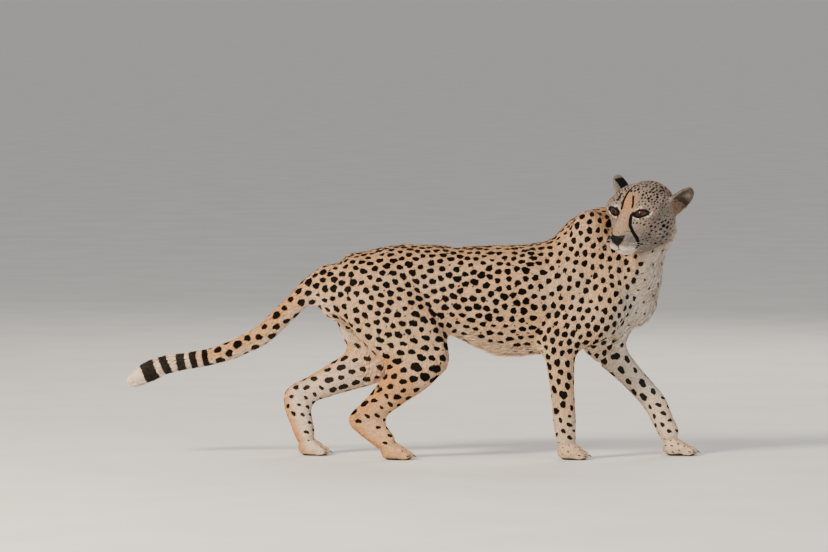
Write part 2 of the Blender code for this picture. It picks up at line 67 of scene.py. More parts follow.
# The pose, which the solids share

MIDDLE = np.array([-0.0011, 0.0478, 0.0])  # on the floor, in the animal's middle plane

# Each leg's joints as (x, z), from the middle and down the leg.
LEGS = {
    (Leg.FORE, Side.RIGHT): ((0.5, 0.6), (0.535, 0.405), (0.404, 0.345), (0.419, 0.125), (0.424, 0.046)),
    (Leg.FORE, Side.LEFT): ((0.512, 0.59), (0.572, 0.405), (0.524, 0.322), (0.676, 0.152), (0.724, 0.052)),
    (Leg.HIND, Side.RIGHT): ((-0.112, 0.468), (0.05, 0.283), (-0.15, 0.117), (-0.068, 0.04)),
    (Leg.HIND, Side.LEFT): ((-0.126, 0.47), (-0.062, 0.278), (-0.338, 0.172), (-0.303, 0.044)),
}
SPREADS = {Leg.FORE: (0.05, 0.074, 0.08, 0.072, 0.068), Leg.HIND: (0.058, 0.088, 0.074, 0.072)}
TOES = {
    (Leg.FORE, Side.RIGHT): 0.49,
    (Leg.FORE, Side.LEFT): 0.8,
    (Leg.HIND, Side.RIGHT): 0.0,
    (Leg.HIND, Side.LEFT): -0.236,
}
TOE_SPREAD = {Leg.FORE: 0.0175, Leg.HIND: 0.0161}
TOE_SET_BACK = 0.013  # of the two outer toes
FORE_FROM = 0.25  # x from the middle, past which a paw is a fore one
TAIL = ((-0.225, 0.0, 0.512), (-0.325, 0.005, 0.44), (-0.43, 0.015, 0.34), (-0.548, 0.029, 0.287),
        (-0.678, 0.045, 0.262), (-0.796, 0.06, 0.208))


def leg_joints(leg: Leg, side: Side) -> Array:
    """One leg's joints in the model's frame, in their order down the leg."""
    rows = [(x, side.value * y, z) for (x, z), y in zip(LEGS[leg, side], SPREADS[leg])]
    return np.array(rows) + MIDDLE


# Small helpers


def unit(vectors: Array) -> Array:
    """The vectors at length one."""
    length = np.linalg.norm(vectors, axis=-1, keepdims=True)
    return vectors / np.maximum(length, 1e-9)


def norms(vectors: Array) -> Array:
    """The lengths of the rows."""
    return np.linalg.norm(vectors, axis=1)


def dot(first: Array, second: Array) -> Array:
    """Row by row dot products."""
    return np.einsum("...i,...i->...", first, second)


def laid(vectors: Array, normals: Array) -> Array:
    """The vectors less their parts along the normals."""
    return vectors - normals * dot(vectors, normals)[:, None]


def ease(low: float | Array, high: float | Array, value: Array) -> Array:
    """A smooth step from 0 at `low` to 1 at `high`: t*t*(3 - 2t) of the clipped share."""
    share = np.clip((value - low) / (high - low), 0, 1)
    return share * share * (3 - 2 * share)


def mix(first: Array, second: Array, share: Array) -> Array:
    """From the first to the second, by a share."""
    return first + (second - first) * share


def waves(points: Array, size: float, phase: float) -> Array:
    """Smooth noise from -1 to 1: a mean of three products of sines.

    Args:
        points: n places.
        size: how far apart the noise differs, in metres.
        phase: sets this noise apart from the others.

    Returns:
        The noise at each place.
    """
    scaled = points / size + phase
    x, y, z = scaled.T
    total = np.sin(x + 1.7 * np.sin(y * 0.9)) * np.cos(y * 1.1 + z)
    total += np.sin(y * 1.3 + 1.3 * np.sin(z * 0.8)) * np.cos(z * 0.9 + x)
    total += np.sin(z * 1.2 + 1.5 * np.sin(x * 1.1)) * np.cos(x * 1.2 + y)
    return total / 3


def to_segments(points: Array, path: Array) -> tuple[Array, Array, Array]:
    """The nearest place on a path of straight runs.

    Args:
        points: n points.
        path: the path's corners.

    Returns:
        The distance to the path, the run's number, and the length along the path.
    """
    path = np.asarray(path, float)
    best = np.full(len(points), FAR)
    run, along = np.zeros(len(points), int), np.zeros(len(points))
    start = 0.0
    for k, (a, b) in enumerate(zip(path, path[1:])):
        step = b - a
        length = np.linalg.norm(step)
        share = np.clip((points - a) @ step / length**2, 0, 1)
        away = norms(points - a - share[:, None] * step)
        nearer = away < best
        best[nearer], run[nearer], along[nearer] = away[nearer], k, start + share[nearer] * length
        start += length
    return best, run, along


def path_gap(points: Array, normals: Array, path: Array) -> tuple[Array, Array]:
    """The distance to a path drawn on the skin, and the length along it.

    Args:
        points: n places on the skin.
        normals: the skin's normals there.
        path: the path's corners.

    Returns:
        The distances and the lengths along the path.
    """
    path = np.asarray(path, float)
    _, run, along = to_segments(points, path)
    steps = np.diff(path, axis=0)
    lengths = norms(steps)
    starts = np.concatenate([[0], np.cumsum(lengths)])[:-1]
    share = (along - starts[run]) / lengths[run]
    away = points - path[run] - share[:, None] * steps[run]
    square = dot(away, normals)
    return norms(away - (1 - SQUARE_SHARE) * square[:, None] * normals), along


def mesh_object(name: str, points: Array, tris: Array) -> Piece:
    """A mesh object at the origin.

    Args:
        name: the object's name.
        points: its vertices.
        tris: the three vertex numbers of each triangle.

    Returns:
        The linked object, shaded smooth.
    """
    corners = np.asarray(tris, np.int32).ravel()
    starts = np.arange(0, len(corners), 3, dtype=np.int32)
    mesh = bpy.data.meshes.new(name)
    mesh.vertices.add(len(points))
    mesh.vertices.foreach_set("co", np.asarray(points, np.float32).ravel())
    mesh.loops.add(len(corners))
    mesh.loops.foreach_set("vertex_index", corners)
    mesh.polygons.add(len(starts))
    mesh.polygons.foreach_set("loop_start", starts)
    mesh.polygons.foreach_set("use_smooth", np.ones(len(starts), bool))
    mesh.update(calc_edges=True)
    made = bpy.data.objects.new(name, mesh)
    bpy.context.scene.collection.objects.link(made)
    return made


def read_mesh(mesh: bpy.types.Mesh) -> tuple[Array, Array]:
    """Reads a mesh.

    Args:
        mesh: the mesh.

    Returns:
        Its vertices and its triangles.
    """
    mesh.calc_loop_triangles()
    points = np.empty(len(mesh.vertices) * 3, np.float32)
    tris = np.empty(len(mesh.loop_triangles) * 3, np.int32)
    mesh.vertices.foreach_get("co", points)
    mesh.loop_triangles.foreach_get("vertices", tris)
    return points.reshape(-1, 3).astype(float), tris.reshape(-1, 3)


def after_modifiers(made: Piece) -> tuple[Array, Array]:
    """Works out an object's modifiers and removes the object.

    Args:
        made: the object.

    Returns:
        The vertices and triangles that its modifiers give.
    """
    graph = bpy.context.evaluated_depsgraph_get()
    graph.update()
    result = made.evaluated_get(graph).to_mesh()
    arrays = read_mesh(result)
    mesh = made.data
    bpy.data.objects.remove(made)
    bpy.data.meshes.remove(mesh)
    return arrays


def set_values(made: Piece, **values: Array) -> None:
    """Writes one float for each vertex, under each name.

    Args:
        made: the mesh object.
        values: the floats of each name.
    """
    for name, numbers in values.items():
        attribute = made.data.attributes.new(name, "FLOAT", "POINT")
        attribute.data.foreach_set("value", np.asarray(numbers, np.float32))


@dataclass
class Surface:
    """A triangle mesh as arrays."""

    points: Array
    tris: Array

    def face_crosses(self) -> Array:
        """Each triangle's normal, as long as twice its area."""
        a, b, c = (self.points[self.tris[:, k]] for k in range(3))
        return np.cross(b - a, c - a)

    def normals(self) -> Array:
        """The vertices' normals: the sum of their triangles' crosses, at length one."""
        crosses = np.repeat(self.face_crosses(), 3, axis=0)
        return unit(self.gathered(self.tris.ravel(), crosses))

    def gathered(self, index: Array, values: Array) -> Array:
        """Sums of values by vertex number."""
        columns = [np.bincount(index, values[:, k], len(self.points)) for k in range(values.shape[1])]
        return np.stack(columns, axis=1)

    def diffused(self, values: Array, steps: int, share: float | Array = 0.6) -> Array:
        """Spreads values over the surface.

        Args:
            values: one row for each vertex.
            steps: how many times they spread.
            share: how far a step moves a value towards the mean of its neighbours'.

        Returns:
            The new values.
        """
        values = values.reshape(len(self.points), -1).astype(float)
        share = share if np.isscalar(share) else share[:, None]
        first = self.tris[:, [0, 1, 2, 1, 2, 0]].ravel()
        second = self.tris[:, [1, 2, 0, 0, 1, 2]].ravel()
        count = np.bincount(first, minlength=len(self.points))[:, None]
        for _ in range(steps):
            values = values + share * (self.gathered(first, values[second]) / count - values)
        return values

    def refined(self, wanted: Array, over: float = 0.0) -> Surface:
        """Halves edges between wanted vertices.

        Args:
            wanted: whether each vertex is wanted.
            over: the length that an edge has to pass.

        Returns:
            The finer surface.
        """
        made = mesh_object("refining", self.points, self.tris)
        ends = np.empty(len(made.data.edges) * 2, np.int32)
        made.data.edges.foreach_get("vertices", ends)
        bm = bmesh.new()
        bm.from_mesh(made.data)
        bm.edges.ensure_lookup_table()
        ends = ends.reshape(-1, 2)
        length = norms(np.diff(self.points[ends], axis=1)[:, 0])
        edges = [bm.edges[k] for k in np.flatnonzero(wanted[ends].all(axis=1) & (length > over))]
        bmesh.ops.subdivide_edges(bm, edges=edges, cuts=1, use_grid_fill=True)
        bmesh.ops.triangulate(bm, faces=bm.faces)
        bm.to_mesh(made.data)
        bm.free()
        return Surface(*after_modifiers(made))


# The head's frame


@dataclass(frozen=True)
class HeadFrame:
    """The head's own frame: x to the nose, y to the animal's left, z to the crown."""

    place: Place = (0.6519, -0.0422, 0.682)
    turn: float = 234.7
    dip: float = 6.6
    tilt: float = -5.2

    def axes(self) -> Array:
        """Turns about Z, then about the new Y, then about the new X.

        Returns:
            The frame's axes as the columns of a matrix.
        """
        turns = ((self.turn, "Z"), (self.dip, "Y"), (self.tilt, "X"))
        whole = Matrix.Identity(3)
        for degrees, axis in turns:
            whole = whole @ Matrix.Rotation(np.radians(degrees), 3, axis)
        return np.array(whole)

    def inward(self, points: Array) -> Array:
        """Points of the model in the head's frame."""
        return (points - np.array(self.place)) @ self.axes()

    def outward(self, points: Array) -> Array:
        """Points of the head's frame in the model."""
        return np.asarray(points) @ self.axes().T + np.array(self.place)


HEAD = HeadFrame()


@dataclass(frozen=True)
class Ear:
    """One ear's shape, in the head's frame."""

    side: Side
    tip: Place
    opening: Place
    root: Place = (0.001, 0.042, 0.02)
    width: float = 0.076

    def axes(self) -> tuple[Array, Array, Array, float]:
        """Lays out the ear on its own side.

        Returns:
            The ear's root, its up and opening directions, and its height.
        """
        mirror = np.array([1, self.side.value, 1])
        root, tip = np.array(self.root) * mirror, np.array(self.tip) * mirror
        up = tip - root
        height = float(np.linalg.norm(up))
        up = up / height
        opening = np.array(self.opening) * mirror
        return root, up, unit(opening - up * (opening @ up)), height

    def shares(self, points: Array) -> tuple[Array, Array]:
        """How far up the ear points of the head's frame are, and how far across, from -1 to 1."""
        root, up, opening, height = self.axes()
        return (points - root) @ up / height, (points - root) @ np.cross(up, opening) / (self.width / 2)


EARS = (
    Ear(Side.RIGHT, (-0.029, 0.11, 0.109), (-0.1, 0.95, -0.2)),
    Ear(Side.LEFT, (-0.024, 0.116, 0.1), (0.25, 0.95, -0.2)),
)


# The coat's kinds


class Zone(Enum):
    """The parts of the body whose coats differ."""

    HEAD = 0
    EAR = 1
    NECK = 2
    TRUNK = 3
    TAIL = 4
    TAIL_TIP = 5
    FORE_UPPER = 6
    FORE_LOWER = 7
    HIND_UPPER = 8
    HIND_LOWER = 9
    PAW = 10


BODY = (Zone.TRUNK, Zone.NECK, Zone.HIND_UPPER, Zone.FORE_LOWER, Zone.HIND_LOWER, Zone.PAW)


def zone_of(node: str) -> Zone:
    """Tells the zone from the name of a solid, such as leg_fore_left_upper or tail_tip.

    Args:
        node: the solid's name.

    Returns:
        Its zone.
    """
    words = node.split("_")
    if words[-1] == "paw":
        return Zone.PAW
    if words[0] == "leg":
        return Zone[f"{words[1]}_{words[3]}".upper()]
    if words[0] == "tail":
        return Zone.TAIL_TIP if words[1] == "tip" else Zone.TAIL
    return Zone.HEAD if words[0] == "eye" else Zone[words[0].upper()]


@dataclass(frozen=True)
class Coat:
    """One kind of coat: its depth and its tufts' size and stand in millimetres, and their number in m2."""

    depth: float
    length: float
    width: float
    lift: float
    density: float


COATS = {
    Zone.HEAD: Coat(1.4, 6.5, 1.1, 1.1, 480e3),
    Zone.EAR: Coat(0.7, 6.0, 1.0, 0.9, 420e3),
    Zone.NECK: Coat(3.2, 13.0, 2.2, 2.6, 210e3),
    Zone.TRUNK: Coat(2.6, 11.0, 2.1, 1.9, 170e3),
    Zone.TAIL: Coat(3.2, 14.0, 2.0, 2.8, 210e3),
    Zone.TAIL_TIP: Coat(4.0, 18.0, 2.2, 4.2, 230e3),
    Zone.FORE_UPPER: Coat(2.4, 10.0, 2.0, 1.7, 190e3),
    Zone.FORE_LOWER: Coat(1.7, 7.0, 1.5, 1.1, 250e3),
    Zone.HIND_UPPER: Coat(2.6, 10.5, 2.0, 1.8, 180e3),
    Zone.HIND_LOWER: Coat(1.8, 7.5, 1.6, 1.2, 240e3),
    Zone.PAW: Coat(1.1, 5.0, 1.2, 0.8, 330e3),
}


# The skin


@dataclass
class Skin:
    """The one skin that stands for every solid of flesh."""

    nodes: list[str]
    push: float = 0.7 * MM  # out of each solid, so that the cuts between them close
    voxel: float = 2.6 * MM
    firm: float = 0.25  # share of each smoothing step on the head, ears and paws
    soft: float = 0.65  # and elsewhere
    steps: int = 22
    tail_root: Place = (-0.222, 0.0, 0.525)  # from the middle, smoothed once more
    root_steps: int = 60
    kept: float = 0.19  # share of the triangles away from the head
    longest: float = 6.5 * MM  # side of a triangle that is left whole
    eye: Place = (0.108, 0.043, 0.026)  # middle of the fine triangles round an eye, in the head's frame
    eye_reach: float = 0.029
    surface: Surface = field(default=None)
    zones: Array = field(default=None)

    def cast(self) -> None:
        """Casts one closed surface over the solids, thin away from the head and fine on the face.

        The solids are swollen a little so that their cuts close, filled with voxels, and
        smoothed by moving each vertex towards the mean of its neighbours.
        """
        solids = [self.swollen(node) for node in self.nodes]
        shifts = np.cumsum([0] + [len(solid.points) for solid in solids])
        points = np.concatenate([solid.points for solid in solids])
        tris = np.concatenate([solid.tris + shift for solid, shift in zip(solids, shifts)])
        owner = np.repeat([zone_of(node).value for node in self.nodes], [len(solid.tris) for solid in solids])
        tree = BVHTree.FromPolygons([Vector(p) for p in points], [tuple(map(int, t)) for t in tris])

        made = mesh_object("casting", points, tris)
        remesh = made.modifiers.new("voxels", "REMESH")
        remesh.mode = "VOXEL"
        remesh.voxel_size = self.voxel
        fine = Surface(*after_modifiers(made))
        zones = self.nearest_owner(tree, owner, fine.points)
        steady = np.isin(zones, [Zone.HEAD.value, Zone.EAR.value, Zone.PAW.value])
        share = fine.diffused(np.where(steady, self.firm, self.soft), 6)[:, 0]
        fine.points = fine.diffused(fine.points, self.steps, share)
        root = norms((fine.points - MIDDLE - self.tail_root) / [1.0, 1.4, 1.0])
        fine.points = fine.diffused(fine.points, self.root_steps, 0.7 * (1 - ease(0.045, 0.085, root)))
        face = np.isin(zones, [Zone.HEAD.value, Zone.EAR.value])
        thin = self.thinned(fine, fine.diffused(np.where(face, 0.0, 1.0), 3)[:, 0])
        for _ in range(2):
            thin = thin.refined(np.ones(len(thin.points), bool), self.longest)
        self.surface = self.refined_face(thin)
        self.zones = self.nearest_owner(tree, owner, self.surface.points)
        LOG.info("skin: %d triangles after casting", len(self.surface.tris))

    def swollen(self, node: str) -> Surface:
        """Merges one solid's corners and pushes it out along its normals.

        Args:
            node: the solid's name.

        Returns:
            Its surface.
        """
        points, tris = read_mesh(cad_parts[node].data)
        _, first, merged = np.unique(np.round(points, 5), axis=0, return_index=True, return_inverse=True)
        solid = Surface(points[first], merged.reshape(-1)[tris])
        solid.points = solid.points + solid.normals() * self.push
        return solid

    def nearest_owner(self, tree: BVHTree, owner: Array, points: Array) -> Array:
        """The zone number of the solid triangle nearest to each point."""
        return np.array([owner[tree.find_nearest(Vector(point))[2]] for point in points])

    def thinned(self, fine: Surface, weights: Array) -> Surface:
        """Takes triangles away where the weights are high.

        Args:
            fine: the surface.
            weights: from 0 to 1 at each vertex.

        Returns:
            The surface with fewer triangles.
        """
        made = mesh_object("thinning", fine.points, fine.tris)
        group = made.vertex_groups.new(name="thin")
        for level in range(11):
            members = np.flatnonzero(np.round(weights * 10) == level)
            group.add([int(k) for k in members], level / 10, "REPLACE")
        thin = made.modifiers.new("thin", "DECIMATE")
        thin.ratio = self.kept
        thin.vertex_group = "thin"
        return Surface(*after_modifiers(made))

    def refined_face(self, thin: Surface) -> Surface:
        """Makes the triangles smaller round the eyes, nose and mouth.

        Args:
            thin: the surface.

        Returns:
            The finer surface.
        """
        places = HEAD.inward(thin.points)
        wanted = (places[:, 0] > 0.108) & (np.abs(places[:, 1]) < 0.046) & (places[:, 2] < -0.022)
        for side in Side:
            eye = np.array(self.eye) * [1, side.value, 1]
            wanted |= norms(places - eye) < self.eye_reach
        fine = thin.refined(wanted)
        places = HEAD.inward(fine.points)
        near = ease(0.095, 0.105, places[:, 0]) * ease(0.07, 0.055, np.abs(places[:, 1]))
        fine.points = fine.diffused(fine.points, 3, 0.5 * near)
        return fine


# The face


@dataclass(frozen=True)
class EyeSocket:
    """One eyeball's place in the head's frame, and the almond opening of its lids."""

    side: Side
    rise: float
    centre: Place = (0.095, 0.0395, 0.024)
    radius: float = 0.0205
    half_length: float = 0.0158
    upper: float = 0.0064
    lower: float = 0.0062
    bow: float = 0.0012  # of the line between the lids
    lid: float = 1.5 * MM
    crease: tuple[float, float, float] = (5.2 * MM, 1.1 * MM, 0.9 * MM)  # its gap, width and depth
    rim_above: float = 5.8 * MM
    rim_below: float = 6.0 * MM
    rim_inner: float = 3.0 * MM  # more than these at the inner corner
    rim_outer: float = 1.6 * MM

    def axes(self) -> tuple[Array, Array, Array]:
        """Lays out the opening.

        Returns:
            The directions to the outer corner, up across the opening, and outwards.
        """
        outward = unit(np.array([0.9, 0.41 * self.side.value, self.rise]))
        corner = np.array([-0.467, 0.844 * self.side.value, 0.225])
        corner = unit(corner - outward * (corner @ outward))
        return corner, np.cross(outward, corner) * self.side.value, outward

    def place(self) -> Array:
        """The eyeball's centre."""
        return np.array(self.centre) * [1, self.side.value, 1]

    def plane(self, points: Array) -> tuple[Array, ...]:
        """The places of points of the head's frame along, across and out of the opening."""
        return tuple((points - self.place()) @ axis for axis in self.axes())

    def gap(self, points: Array) -> Array:
        """The distance from the opening's edge, below zero inside it.

        With a along and b across, the edge is (|a|/A)^1.7 + (|b|/B)^2 = 1, where B is the
        upper or the lower height. The distance is taken along the line from the centre.

        Args:
            points: points of the head's frame.

        Returns:
            The distances.
        """
        along, across, out = self.plane(points)
        across = across - self.bow * (1 - (along / self.half_length) ** 2)
        height = np.where(across > 0, self.upper, self.lower)
        share = (np.abs(along / self.half_length) ** 1.7 + np.abs(across / height) ** 2) ** (1 / 1.85)
        reach = np.hypot(along, across)
        gap = reach - reach / np.maximum(share, 0.05)
        return np.where(out > 0, gap, FAR)

    def rim(self, points: Array) -> Array:
        """How wide the black round the opening is, which is widest at the inner corner.

        Args:
            points: points of the head's frame.

        Returns:
            The width beside each point.
        """
        along, across, _ = self.plane(points)
        inner, outer = ease(-0.002, 0.016, -along), ease(0.006, 0.016, along)
        middle = np.where(across > 0, self.rim_above, self.rim_below)
        return middle + self.rim_inner * inner + self.rim_outer * outer


SOCKETS = (EyeSocket(Side.RIGHT, 0.02), EyeSocket(Side.LEFT, 0.22))


@dataclass(frozen=True)
class Bump:
    """A bell-shaped swelling or hollow on both sides of the head, its height in millimetres."""

    centre: Place
    radius: float
    height: float

    def at(self, folded: Array) -> Array:
        """How far it moves each point, where y is folded to the left side."""
        away = norms(folded - np.array(self.centre))
        return self.height * MM * np.exp(-((away / self.radius) ** 2))


@dataclass(frozen=True)
class Groove:
    """A groove or a ridge along a path on both sides of the head, in millimetres."""

    path: tuple[Place, ...]
    width: float
    height: float

    def at(self, folded: Array, facing: Array) -> Array:
        """How far it moves each point, where y is folded to the left side."""
        away = path_gap(folded, facing, self.path)[0]
        return self.height * MM * np.exp(-((away / (self.width * MM)) ** 2))


MOUTH = ((0.141, 0.0, -0.074), (0.139, 0.01, -0.0785), (0.136, 0.024, -0.078), (0.127, 0.036, -0.0735),
         (0.114, 0.0405, -0.0635), (0.098, 0.045, -0.059))
PHILTRUM = ((0.148, 0.0, -0.057), (0.145, 0.0, -0.066), (0.1405, 0.0, -0.0745))
TEAR = ((0.113, 0.0255, 0.026), (0.1175, 0.0205, 0.019), (0.1235, 0.0215, 0.0075), (0.129, 0.0245, -0.006),
        (0.123, 0.0305, -0.025), (0.115, 0.038, -0.042), (0.112, 0.04, -0.056))

# Half the width in millimetres of the black on these lines, at lengths along them.
TEAR_HALF = ((0, 0.015, 0.04, 0.07, 0.09), (5.2, 4.2, 4.8, 5.2, 5.6))
MOUTH_HALF = ((0, 0.03, 0.042, 0.055, 0.08), (1.0, 0.9, 1.6, 4.2, 3.0))
PHILTRUM_HALF = 1.2

# The dark stripes of the brow on their own sides, with half their width in millimetres.
STRIPES = (
    (((0.086, -0.01, 0.088), (0.091, -0.013, 0.076), (0.1, -0.0205, 0.054), (0.11, -0.0195, 0.034)), 3.7),
    (((0.095, 0.009, 0.069), (0.102, 0.0128, 0.05), (0.106, 0.013, 0.042)), 3.3),
    (((0.088, -0.036, 0.072), (0.098, -0.038, 0.054)), 3.0),
)

# Where the face is white: the lips, the chin and the whiskers' rows.
LIPS = ((0.142, 0.012, -0.072), (0.134, 0.03, -0.074), (0.125, 0.034, -0.085))
CHIN = (0.125, 0.0, -0.095)
WHISKER_ROWS = ((0.146, 0.026, -0.045), (0.13, 0.03, -0.02), (0.124, 0.032, 0.0))


@dataclass
class Face:
    """The nose, mouth, lids and folds of the face, and the dark lines on it."""

    shift: float = -0.003  # of the middle line, across the head
    drift: tuple[float, float] = (5.0 * MM, -3.5 * MM)  # of the muzzle, forwards and across
    bumps: tuple[Bump, ...] = (
        Bump((0.129, 0.022, -0.06), 0.012, 2.2),
        Bump((0.148, 0.024, -0.042), 0.0125, 6.5),
        Bump((0.128, 0.03, -0.04), 0.014, 1.2),
        Bump((0.12, 0.031, -0.06), 0.01, 1.2),
        Bump((0.131, 0.0, -0.091), 0.011, 1.2),
        Bump((0.119, 0.028, -0.012), 0.012, -1.6),
        Bump((0.101, 0.032, 0.048), 0.012, 2.4),
        Bump((0.096, 0.052, 0.05), 0.01, 1.6),
        Bump((0.104, 0.05, 0.006), 0.013, 1.4),
        Bump((0.114, 0.0, 0.034), 0.012, -1.4),
        Bump((0.126, 0.0, 0.0), 0.009, 1.0),
        Bump((0.055, 0.05, 0.06), 0.02, 4.0),
        Bump((0.1535, 0.0145, -0.0455), 0.0044, -4.8),
        Bump((0.15, 0.022, -0.049), 0.0028, -2.4),
    )
    grooves: tuple[Groove, ...] = (
        Groove(MOUTH, 1.5, -2.0),
        Groove(PHILTRUM, 1.2, -1.3),
    )

    def folded(self, points: Array) -> Array:
        """Points of the head's frame with y measured from the middle line, on the left side."""
        across = np.abs(points[:, 1] - self.middle(points))
        return np.stack([points[:, 0], across, points[:, 2]], axis=1)

    def middle(self, points: Array) -> Array:
        """How far across the head the middle line runs, beside each point."""
        return self.shift + self.drift[1] * ease(0.114, 0.155, points[:, 0])

    def facing(self, points: Array, normals: Array) -> Array:
        """Normals of the head's frame, folded as the points are."""
        sign = np.where(points[:, 1] < self.middle(points), -1.0, 1.0)
        return np.stack([normals[:, 0], normals[:, 1] * sign, normals[:, 2]], axis=1)

    def nose_gap(self, points: Array) -> Array:
        """The distance from the edge of the nose's leather, below zero inside it.

        Half the leather's width narrows from its top edge down to the groove of the lip.

        Args:
            points: points of the head's frame.

        Returns:
            The distances.
        """
        folded = self.folded(points)
        levels = (-0.074, -0.066, -0.06, -0.053, -0.044, -0.036, -0.032)
        halves = (0.0006, 0.0012, 0.0055, 0.015, 0.0225, 0.0258, 0.0252)
        half = np.interp(folded[:, 2], levels, halves)
        over = folded[:, 2] - (-0.0315 - 0.0016 * np.cos(folded[:, 1] / 0.0075))
        gap = np.maximum(folded[:, 1] - half, over)
        return np.where((folded[:, 0] > 0.118) & (folded[:, 2] > -0.0745), gap, FAR)

    def sculpt(self, points: Array, normals: Array) -> Array:
        """Shapes the face: the muzzle drifts first, and all that follows is laid out on it.

        Args:
            points: the skin's vertices in the head's frame.
            normals: their normals in the same frame.

        Returns:
            The moved vertices.
        """
        forwards = self.drift[0] * ease(0.118, 0.15, points[:, 0])
        across = self.drift[1] * ease(0.112, 0.15, points[:, 0])
        points = points + np.stack([forwards, across, 0 * across], axis=1)
        folded, facing = self.folded(points), self.facing(points, normals)
        moved = sum(part.at(folded) for part in self.bumps)
        nose = self.nose_gap(points)
        moved += 0.7 * MM * (1 - ease(-0.0015, 0.0005, nose))
        moved *= ease(0.016, 0.036, points[:, 0])
        points = points + normals * moved[:, None]
        cut = sum(part.at(self.folded(points), facing) for part in self.grooves)
        points = points + normals * np.where(points[:, 0] > 0.03, cut, 0)[:, None]
        for socket in SOCKETS:
            points = self.set_lids(points, socket)
        return points

    def set_lids(self, points: Array, socket: EyeSocket) -> Array:
        """Opens the lids over one eyeball.

        Inside the opening the skin goes behind the eyeball's surface. Round it, the lid
        stands over the eyeball, and blends into the face farther out.

        Args:
            points: the skin's vertices in the head's frame.
            socket: the eyeball's socket.

        Returns:
            The moved vertices.
        """
        away = points - socket.place()
        reach = norms(away)
        gap = socket.gap(points)
        place, width, depth = socket.crease
        above = ease(0, 0.004, socket.plane(points)[1])
        crease = -depth * np.exp(-(((gap - place) / width) ** 2)) * above
        lid = socket.radius + socket.lid * ease(-0.2 * MM, 0.9 * MM, gap)
        lid = lid - 3.2 * MM * (1 - ease(-1.6 * MM, 0.2 * MM, gap))
        wanted = mix(lid, reach, ease(3.0 * MM, 10.0 * MM, gap)) + crease
        near = (reach < 0.045) & (gap < 0.012)
        moved = socket.place() + away * (wanted / np.maximum(reach, 1e-6))[:, None]
        return np.where(near[:, None], moved, points)

    def lines(self, points: Array, normals: Array) -> Array:
        """The distance from the face's black lines, below zero in them.

        Args:
            points: points of the head's frame.
            normals: the skin's normals there.

        Returns:
            The distances.
        """
        folded, facing = self.folded(points), self.facing(points, normals)
        away, along = path_gap(folded, facing, TEAR)
        best = away - np.interp(along, *TEAR_HALF) * MM
        away, along = path_gap(folded, facing, MOUTH)
        best = np.minimum(best, away - np.interp(along, *MOUTH_HALF) * MM)
        best = np.minimum(best, path_gap(folded, facing, PHILTRUM)[0] - PHILTRUM_HALF * MM)
        for path, half in STRIPES:
            best = np.minimum(best, path_gap(points, normals, path)[0] - half * MM)
        for socket in SOCKETS:
            best = np.minimum(best, socket.gap(points) - socket.rim(points))
        return best

    def pale(self, points: Array) -> Array:
        """How white the face is: under the eyes, over their inner part, and round the mouth.

        Args:
            points: points of the head's frame.

        Returns:
            The white's share at each point.
        """
        folded = self.folded(points)
        white = 1 - ease(0.008, 0.02, to_segments(folded, LIPS)[0])
        chin = norms(folded - CHIN)
        white = np.maximum(white, 1 - ease(0.016, 0.036, chin))
        beside = to_segments(folded, WHISKER_ROWS)[0]
        white = np.maximum(white, 0.18 * (1 - ease(0.004, 0.014, beside)))
        for socket in SOCKETS:
            along, across, _ = socket.plane(points)
            gap = socket.gap(points)
            out = gap - socket.rim(points)
            below = (1 - ease(3.6 * MM, 5.6 * MM, out)) * ease(0.001, -0.002, across)
            above = 0.55 * (1 - ease(10 * MM, 18 * MM, gap)) * ease(0.002, 0.006, across)
            above = above * ease(0.01, -0.002, along)
            white = np.maximum(white, np.maximum(below, above) * ease(-2.0 * MM, 0.0, out))
        return white


# The markings

OUTLINE_WAVES = ((2, 0.09), (3, 0.07), (5, 0.05))  # turns round a spot's outline, and share of its radius


@dataclass
class Spots:
    """Black spots: each has a place, a size, a long direction and a wavy outline."""

    places: Array
    normals: Array
    along: Array
    radii: Array
    stretch: Array
    phases: Array

    def distances(self, points: Array, cell: float, reach: float) -> Array:
        """The distance of each point from the nearest spot's outline, below zero inside.

        A spot looks only at the cells of points that it reaches. Its distance is the root of
        (a/s)^2 + (b*s)^2 + 0.15h^2, less its wavy radius, where a, b and h lie along, across
        and out of the skin.

        Args:
            points: places on the skin.
            cell: a cell's side.
            reach: the longest distance.

        Returns:
            The distances.
        """
        result = np.full(len(points), reach)
        if not len(points):
            return result
        keys = np.floor(points / cell).astype(int)
        low = keys.min(axis=0)
        size = keys.max(axis=0) - low + 1
        flat = np.ravel_multi_index((keys - low).T, size)
        order = np.argsort(flat, kind="stable")
        starts = np.searchsorted(flat[order], np.arange(np.prod(size) + 1))
        across = np.cross(self.normals, self.along)
        for k, place in enumerate(self.places):
            span = self.radii[k] * self.stretch[k] + reach
            first = np.maximum(np.floor((place - span) / cell).astype(int) - low, 0)
            last = np.minimum(np.floor((place + span) / cell).astype(int) - low, size - 1)
            if (last < first).any():
                continue
            found = []
            for x in range(first[0], last[0] + 1):
                for y in range(first[1], last[1] + 1):
                    row = (x * size[1] + y) * size[2]
                    found.append(order[starts[row + first[2]]:starts[row + last[2] + 1]])
            near = np.concatenate(found)
            away = points[near] - place
            a, b, h = away @ self.along[k], away @ across[k], away @ self.normals[k]
            angle = np.arctan2(b, a)
            wave = 1.0
            for (turns, depth), phase in zip(OUTLINE_WAVES, self.phases[k]):
                wave = wave + depth * np.sin(turns * angle + phase)
            gap = np.sqrt((a / self.stretch[k]) ** 2 + (b * self.stretch[k]) ** 2 + 0.15 * h**2)
            result[near] = np.minimum(result[near], gap - self.radii[k] * wave)
        return result


